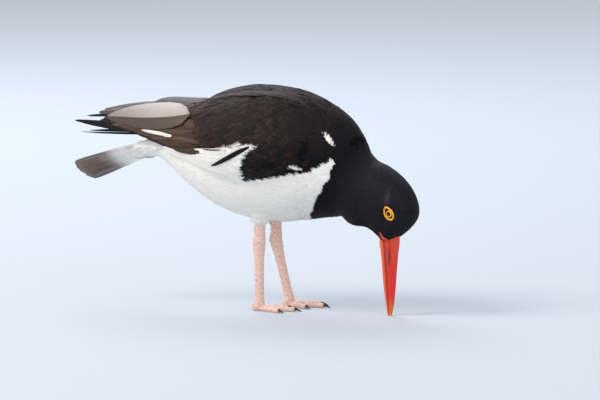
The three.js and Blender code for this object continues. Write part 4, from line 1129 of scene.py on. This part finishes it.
class BIRD_OT_tail(bpy.types.Operator):
    """Twelve tail feathers with white bases and a dark end band"""

    bl_idname = "bird.tail"
    bl_label = "Tail"

    def execute(self, context):
        along = np.array([-math.cos(TAIL_PITCH), 0, -math.sin(TAIL_PITCH)])
        side = np.array([0, math.cos(TAIL_ROLL), -math.sin(TAIL_ROLL)])
        up = unit(np.cross(side, along))
        groups, t = [], LONG_ROWS
        s, h = LONG_SECTION.T
        for k, share in enumerate(np.linspace(-1, 1, TAIL_COUNT)):
            angle = math.radians(TAIL_SPREAD * share)
            reach = TAIL_SHOWN - 2.5 * share**2 + rng.normal() * 0.4
            radius = TAIL_HIDDEN - 9 + (reach + 9) * t
            line = TAIL_ROOT + along * (radius * math.cos(angle) - TAIL_HIDDEN)[:, None]
            line = line + side * (radius * math.sin(angle))[:, None]
            across = side * math.cos(angle) - along * math.sin(angle)
            wide = (TAIL_HALF * BLUNT_TIP)[:, None] * s
            rise = np.broadcast_to(h - 1.6 * abs(share) - 0.3 * np.sign(share) * s, wide.shape)
            points = line[:, None] + across * wide[..., None] + up * rise[..., None]
            tint = self.paint(t[:, None], s[None], share)
            full = np.ones((1, *wide.shape, 1))
            normals = silky(up * full, across * full, along * full, LONG_SECTION, t, 0.2)
            groups.append(vane_mesh(points[None], tint[None], packed_uv(1, k, TAIL_COUNT), normals))
        points, faces, *rest = joined(groups)
        make_piece("tail_feathers", points, faces, "flight", "brown_plumage", *rest, ["tail"])
        return {"FINISHED"}

    def paint(self, t, s, share):
        t, s = np.broadcast_arrays(t, s)
        band = ramp(t - 0.05 * np.abs(s), 0.2, 0.5)[..., None] ** 1.3
        dark = mix(TAIL_BROWN, TAIL_BLACK, 0.12 * ramp(np.abs(s), 1 / 6, 1)[..., None])
        if share > 0.7:
            dark = mix(dark, TAIL_BLACK, 0.6)
        if share < -0.5:
            dark = mix(dark, GREY_BROWN, 0.25)
        tint = mix(BELLY_WHITE, dark, band)
        shaft = (np.abs(s) < 0.02)[..., None]
        return np.where(shaft, mix(tint, SHADE_WHITE, 0.2), tint)


class BIRD_OT_bill(bpy.types.Operator):
    """Two mandibles with a mouth line and nostrils"""

    bl_idname = "bird.bill"
    bl_label = "Bill"

    def execute(self, context):
        colour = np.array(context.scene.bird.bill_colour)
        for upper in (True, False):
            z = np.linspace(0, BILL_TOP, 60)
            culmen, gonys, width, mouth = profile(BILL, z).T[..., None]
            lip = mouth + (MOUTH_GAP if upper else -MOUTH_GAP)
            angle = np.linspace(-0.5 * math.pi, 0.5 * math.pi, 17)
            across = width * np.sin(angle)
            crown = lip + ((culmen if upper else gonys) - lip) * np.abs(np.cos(angle)) ** 0.8
            z = z[:, None]
            if upper:
                groove = bell(angle**2, 0.75, 0.25)
                slit = bell(z, 53, NOSTRIL_REACH, 4) * bell(np.abs(angle), 1.02, 0.14)
                narrow = 1 - 0.05 * groove * ramp(z, 34, 54)
                across = across * narrow - np.sign(across) * 1.1 * slit
            flat = np.linspace(1, -1, 9)[1:-1]
            foot_line = BILL_FOOT + UP * z[..., None]
            front = foot_line + CROWN * crown[..., None] + LATERAL * across[..., None]
            back = foot_line + CROWN * lip[..., None] + LATERAL * (width * flat)[..., None]
            rings = np.concatenate([front, back], axis=1)
            points, faces = loft(rings if upper else rings[:, ::-1])
            name = "bill_upper" if upper else "bill_lower"
            tint = self.paint(points, colour, upper)
            made = make_piece(f"{name}_horn", points, faces, "bill", "bill_horn", tint, replaces=[name])
            made.data.set_sharp_from_angle(angle=math.radians(50))
        for side, label in SIDES:
            self.gape(side, label, colour)
        return {"FINISHED"}

    def gape(self, side, label, colour):
        """The bare wedge of the mouth's corner on the cheek."""
        t = np.linspace(0, 1, 20)
        crown, z, half = 2.6 - 3.0 * t**0.8, 61.0 + 12.0 * t, 3.4 * (1 - t) ** 1.1 + 0.25
        line, normals = self.on_cheek(side, crown, z)
        ahead, _ = self.on_cheek(side, crown + 0.6, z)
        across = unit(ahead - line)
        sunk = (0.25 - 2.2 * (1 - t) ** 3)[:, None]
        rings = ovals(line + normals * sunk, normals * 0.75, across * half[:, None] * side, 14)
        points, faces = loft(rings)
        make_piece(f"gape_{label}", points, faces, "bill", "bill_horn", mix(colour, linear("#ff6a34"), 0.25))

    def on_cheek(self, side, crown, z):
        """Places and outward ways on the skin beside the given places of the head."""
        skin = SKIN["whole"]
        found = []
        for c, height in zip(crown, z):
            start = Vector(head_point(c, side * 40, height))
            place, normal, _, _ = skin.tree.ray_cast(start, Vector(LATERAL * -side))
            found.append((place, normal) if place else (head_point(c, side * 6, height), LATERAL * side))
        return np.array([f[0] for f in found], float), np.array([f[1] for f in found], float)

    def paint(self, points, colour, upper):
        z = points[:, 2]
        rel = points - BILL_FOOT
        crown, lateral = rel @ CROWN, rel @ LATERAL
        mouth = profile(BILL, z)[:, 3]
        blend = lambda tint, other, share: mix(tint, linear(other), share[:, None])
        tint = np.repeat(colour[None], len(points), 0)
        fibres = 0.5 + 0.5 * np.sin(lateral * 3.1 + 0.5 * np.sin(z * 0.21)) * np.sin(z * 0.33 + crown)
        # Painted light and shade: the upper mandible is painted a deeper, shaded red and the lower a
        # brighter, lit orange-red.
        tint = blend(tint, "#d81404" if upper else "#ff6428", 0.45 + 0.3 * fibres)
        tint = blend(tint, "#ff6a34", ramp(z, 44, 60) * (0.2 if upper else 0.75))
        tint = blend(tint, "#e59a48", ramp(z, 16, -2) * 0.6)
        if upper:
            # Painted shade: the nasal groove is painted darker where shade lies in it.
            groove = bell(crown, 3.1, 0.55) * ramp(z, 26, 40)
            tint = blend(tint, "#7a160c", groove * 0.45)
            # Painted shade: the nostril slit is painted near black for the shade inside it.
            slit = bell(z, 50, NOSTRIL_REACH, 4) * (np.abs(crown - 3.2) < 0.8)
            tint = blend(tint, "#3a0c08", 0.85 * slit)
        # Painted shade: a dark line along the mouth, where shade lies in the gap between the mandibles.
        return blend(tint, "#5f1209", bell(crown, mouth, 0.45) * 0.8)


class BIRD_OT_eyes(bpy.types.Operator):
    """Eyeballs with iris and pupil, and the bare rings of the lids"""

    bl_idname = "bird.eyes"
    bl_label = "Eyes"

    def execute(self, context):
        iris = np.array(context.scene.bird.iris_colour)
        for side, label in SIDES:
            centre = eye_centre(side)
            out = LATERAL * side
            a = np.linspace(0.01, math.pi - 0.01, 110)
            rings = ovals(
                centre + out * (EYE_RADIUS * np.cos(a))[:, None],
                UP * (EYE_RADIUS * np.sin(a))[:, None],
                CROWN * side * (EYE_RADIUS * np.sin(a))[:, None],
                40,
            )
            points, faces = loft(rings)
            r = np.linalg.norm(np.cross(points - centre, out), axis=1)[:, None]
            tint = mix(iris, linear("#120a06"), ramp(r, IRIS_RIM, IRIS_RIM + 0.25))
            tint = mix(tint, linear("#c8841a"), ramp(r, IRIS_RADIUS, IRIS_RADIUS - 0.4) * 0.5)
            tint = mix(tint, linear("#050505"), ramp(r, PUPIL_RADIUS, PUPIL_RADIUS - 0.12))
            tint = np.where(((points - centre) @ out > 0)[:, None], tint, linear("#2a1a10"))
            make_piece(f"eyeball_{label}", points, faces, "eye", "iris", tint, replaces=[f"eye_{label}"])
            self.lids(side, label)
        return {"FINISHED"}

    def lids(self, side, label):
        angle = np.linspace(0, 2 * math.pi, 56, endpoint=False)
        pointed = 1 + 0.16 * np.maximum(0, np.sin(angle)) ** 6
        along = RING_LENGTH * pointed * np.sin(angle)
        across = RING_BREADTH * np.cos(angle)
        lean = math.radians(RING_SLANT)
        crown = EYE_CROWN + across * math.cos(lean) - along * math.sin(lean)
        z = EYE_HEIGHT + along * math.cos(lean) + across * math.sin(lean)
        depth = RING_DEPTH + along / 5.9 * 1.3 + 0.1
        middle = head_point(crown[:, None], side * depth[:, None], z[:, None])
        outward = CROWN * np.cos(angle)[:, None] + UP * np.sin(angle)[:, None]
        thick = (0.95 + 0.12 * np.sin(angle * 7) * np.sin(angle * 3))[:, None]
        rings = ovals(middle, LATERAL * side * (1.05 * thick), outward * (0.88 * thick), 12)
        faces = tube_faces(len(angle), 12, closed=True)
        warm = 0.5 + 0.5 * np.sin(np.repeat(angle, 12) * 5)
        tint = mix(linear("#f8b929"), linear("#f08a1c"), 0.15 * warm[:, None])
        points, nodes = rings.reshape(-1, 3), [f"eye_ring_{label}"]
        make_piece(f"lids_{label}", points, faces, "lids", "eye_ring_skin", tint, replaces=nodes)


class BIRD_OT_legs(bpy.types.Operator):
    """Scaled legs and feet with three toes and claws each"""

    bl_idname = "bird.legs"
    bl_label = "Legs"

    def execute(self, context):
        colour = np.array(context.scene.bird.leg_colour)
        for side, label in SIDES:
            a, f, h = ankle(side), foot(side), hip(side)
            heel = f - [HEEL_BACK, 0, 0]
            solids = [
                limb(mix(h, a, 0.58), a + unit(a - h) * 2, SHANK, 24, 60, self.wrinkles),
                limb(a - unit(f - a) * 2, f, TARSUS, 24, 180, self.scutes),
                limb(heel + UP * 1.5, heel - UP * 4.6, HEEL, 20, 10),
                *(self.toe(side, *toe) for _, *toe in TOES),
            ]
            points, quads = remeshed(solids, LEG_VOXEL, 1)
            points[:, 2] = np.maximum(points[:, 2], 0.0)
            nodes = [f"{part}_{label}" for part in ("shank", "tarsus", "foot")]
            tint = self.paint(points, colour)
            make_piece(f"leg_{label}", points, quads, "leg", "leg_skin", tint, replaces=nodes)
            for name, length, turn, _ in TOES:
                points, faces = self.claw(side, length, turn)
                claw, tint = f"claw_{label}_{name}", linear("#2c2320")
                make_piece(f"{claw}_horn", points, faces, "claw", "claw_horn", tint, replaces=[claw])
        return {"FINISHED"}

    def wrinkles(self, t, angle):
        """Loose folds of the skin above the heel joint."""
        folds = np.sin(t * 31 + 2.4 * np.sin(angle * 2 + t * 9) + 1.7 * np.sin(t * 12))
        return 0.07 * folds * np.cos(angle + t * 6) + 0.04 * np.sin(t * 9 + angle)

    def scutes(self, t, angle):
        """Small scales in uneven rings."""
        rings = np.tanh(4 * np.sin(t * 92 + 2 * np.cos(angle) + 1.5 * np.sin(t * 13)))
        return 0.04 * rings * (0.5 + 0.5 * np.sin(t * 17 + 2 * angle))

    def ways(self, side, turn):
        angle = math.radians(-side * turn)
        c, s = math.cos(angle), math.sin(angle)
        return np.array([c, s, 0]), np.array([-s, c, 0])

    def toe(self, side, length, turn, radius):
        along, across = self.ways(side, turn)
        t = np.linspace(0, 1, 70)
        pads, scales = 1 + 0.1 * np.cos(t * math.pi * 6), 1 + 0.03 * np.sign(np.sin(t * 75))
        r = radius * (1.05 - 0.33 * t) * pads * scales
        centres = foot(side) + along * (-1.5 + (length + 1.5) * t)[:, None]
        centres[:, 2] = r * 0.8
        rings = ovals(centres, UP * r[:, None], across * r[:, None], 20)
        rings[..., 2] = np.maximum(rings[..., 2], 0)
        return loft(rings)

    def claw(self, side, length, turn):
        along, across = self.ways(side, turn)
        t = np.linspace(0, 1, 16)
        r = mix(CLAW_ROOT, CLAW_TIP, t**0.8)
        centres = foot(side) + along * (length + 0.3 + CLAW_LENGTH * t)[:, None]
        centres[:, 2] = mix(2.3, 0.34, t**1.7)
        return loft(ovals(centres, UP * r[:, None], across * (r * 0.75)[:, None], 14))

    def paint(self, points, colour):
        x, y, z = points.T
        scales = np.sin(z * 1.3 + np.sin(x * 1.3) * 2.2 + 1.2 * np.sin(y * 0.8))
        scales = scales * np.sin(y * 1.1 + x * 0.7 + z * 0.23)
        lines = np.sin(z * 1.7 + 2.2 * np.sin(x * 0.8 + y) + np.sin(z * 0.37) * 2)
        lines = np.clip(lines - 0.6, 0, 1) * 1.8
        dark = (np.clip(scales, 0, 1) * 0.35 + lines * 0.5).clip(0, 0.8)[:, None]
        return mix(colour, linear("#b98476"), dark)


class BIRD_OT_stage(bpy.types.Operator):
    """A plain pale floor, soft studio light and the camera"""

    bl_idname = "bird.stage"
    bl_label = "Stage"

    def execute(self, context):
        settings = context.scene.bird_stage
        self.floor(settings.floor_radius)
        self.lights(context)
        self.camera(context, settings.camera_distance)
        context.scene.view_settings.view_transform = "Standard"
        return {"FINISHED"}

    def floor(self, radius):
        mesh = bpy.data.meshes.new("floor")
        side = [(-radius, -radius, 0), (radius, -radius, 0), (radius, radius, 0), (-radius, radius, 0)]
        mesh.from_pydata(side, [], [(0, 1, 2, 3)])
        # Floor: dull pale card that only takes the soft shadow.
        card = {"Roughness": 0.9, "Base Color": (*linear("#c3ccd6"), 1)}
        mesh.materials.append(new_material("pale_floor", card)[0])
        placed("floor", mesh)

    def lights(self, context):
        world = bpy.data.worlds.new("soft_sky")
        context.scene.world = world
        world.use_nodes = True
        background = world.node_tree.nodes["Background"]
        background.inputs["Color"].default_value = (*linear("#f1f2f5"), 1)
        background.inputs["Strength"].default_value = 0.9
        for name, place, size, power, colour in LIGHTS:
            data = bpy.data.lights.new(name, "AREA")
            data.shape, data.size, data.energy = "DISK", size, power
            data.color = linear(colour)
            lamp = placed(name, data)
            lamp.location = place
            aim = Vector((0.0, 0.0, 0.1)) - lamp.location
            lamp.rotation_euler = aim.to_track_quat("-Z", "Y").to_euler()

    def camera(self, context, distance):
        back, right, up = (Vector(way) for way in VIEW)
        across, height = FRAME_CENTRE
        target = (right * across + up * height + Vector(SHIFT)) * MM
        data = bpy.data.cameras.new("camera")
        data.sensor_width = SENSOR
        data.lens = SENSOR * distance / (FRAME_WIDTH * MM)
        data.clip_end = 100
        camera = placed("camera", data)
        camera.location = target + back.normalized() * distance
        camera.rotation_euler = (-back).to_track_quat("-Z", "Y").to_euler()
        context.scene.camera = camera


class BIRD_PT_panel(bpy.types.Panel):
    bl_idname = "BIRD_PT_panel"
    bl_label = "Oystercatcher"
    bl_space_type = "VIEW_3D"
    bl_region_type = "UI"
    bl_category = "Oystercatcher"

    def draw(self, context):
        for settings in (context.scene.bird, context.scene.bird_stage):
            for name in settings.__annotations__:
                self.layout.prop(settings, name)
        for operator in OPERATORS:
            self.layout.operator(operator.bl_idname)


OPERATORS = (BIRD_OT_skin, BIRD_OT_contour_feathers, BIRD_OT_wings, BIRD_OT_tail)
OPERATORS += (BIRD_OT_bill, BIRD_OT_eyes, BIRD_OT_legs, BIRD_OT_stage)
CLASSES = (BirdSettings, StageSettings, *OPERATORS, BIRD_PT_panel)


def register():
    for cls in CLASSES:
        bpy.utils.register_class(cls)
    bpy.types.Scene.bird = bpy.props.PointerProperty(type=BirdSettings)
    bpy.types.Scene.bird_stage = bpy.props.PointerProperty(type=StageSettings)


def unregister():
    del bpy.types.Scene.bird_stage
    del bpy.types.Scene.bird
    for cls in reversed(CLASSES):
        bpy.utils.unregister_class(cls)


def main():
    register()
    bpy.ops.bird.skin()
    bpy.ops.bird.contour_feathers()
    bpy.ops.bird.wings()
    bpy.ops.bird.tail()
    bpy.ops.bird.bill()
    bpy.ops.bird.eyes()
    bpy.ops.bird.legs()
    bpy.ops.bird.stage()


if __name__ == "__main__":
    main()
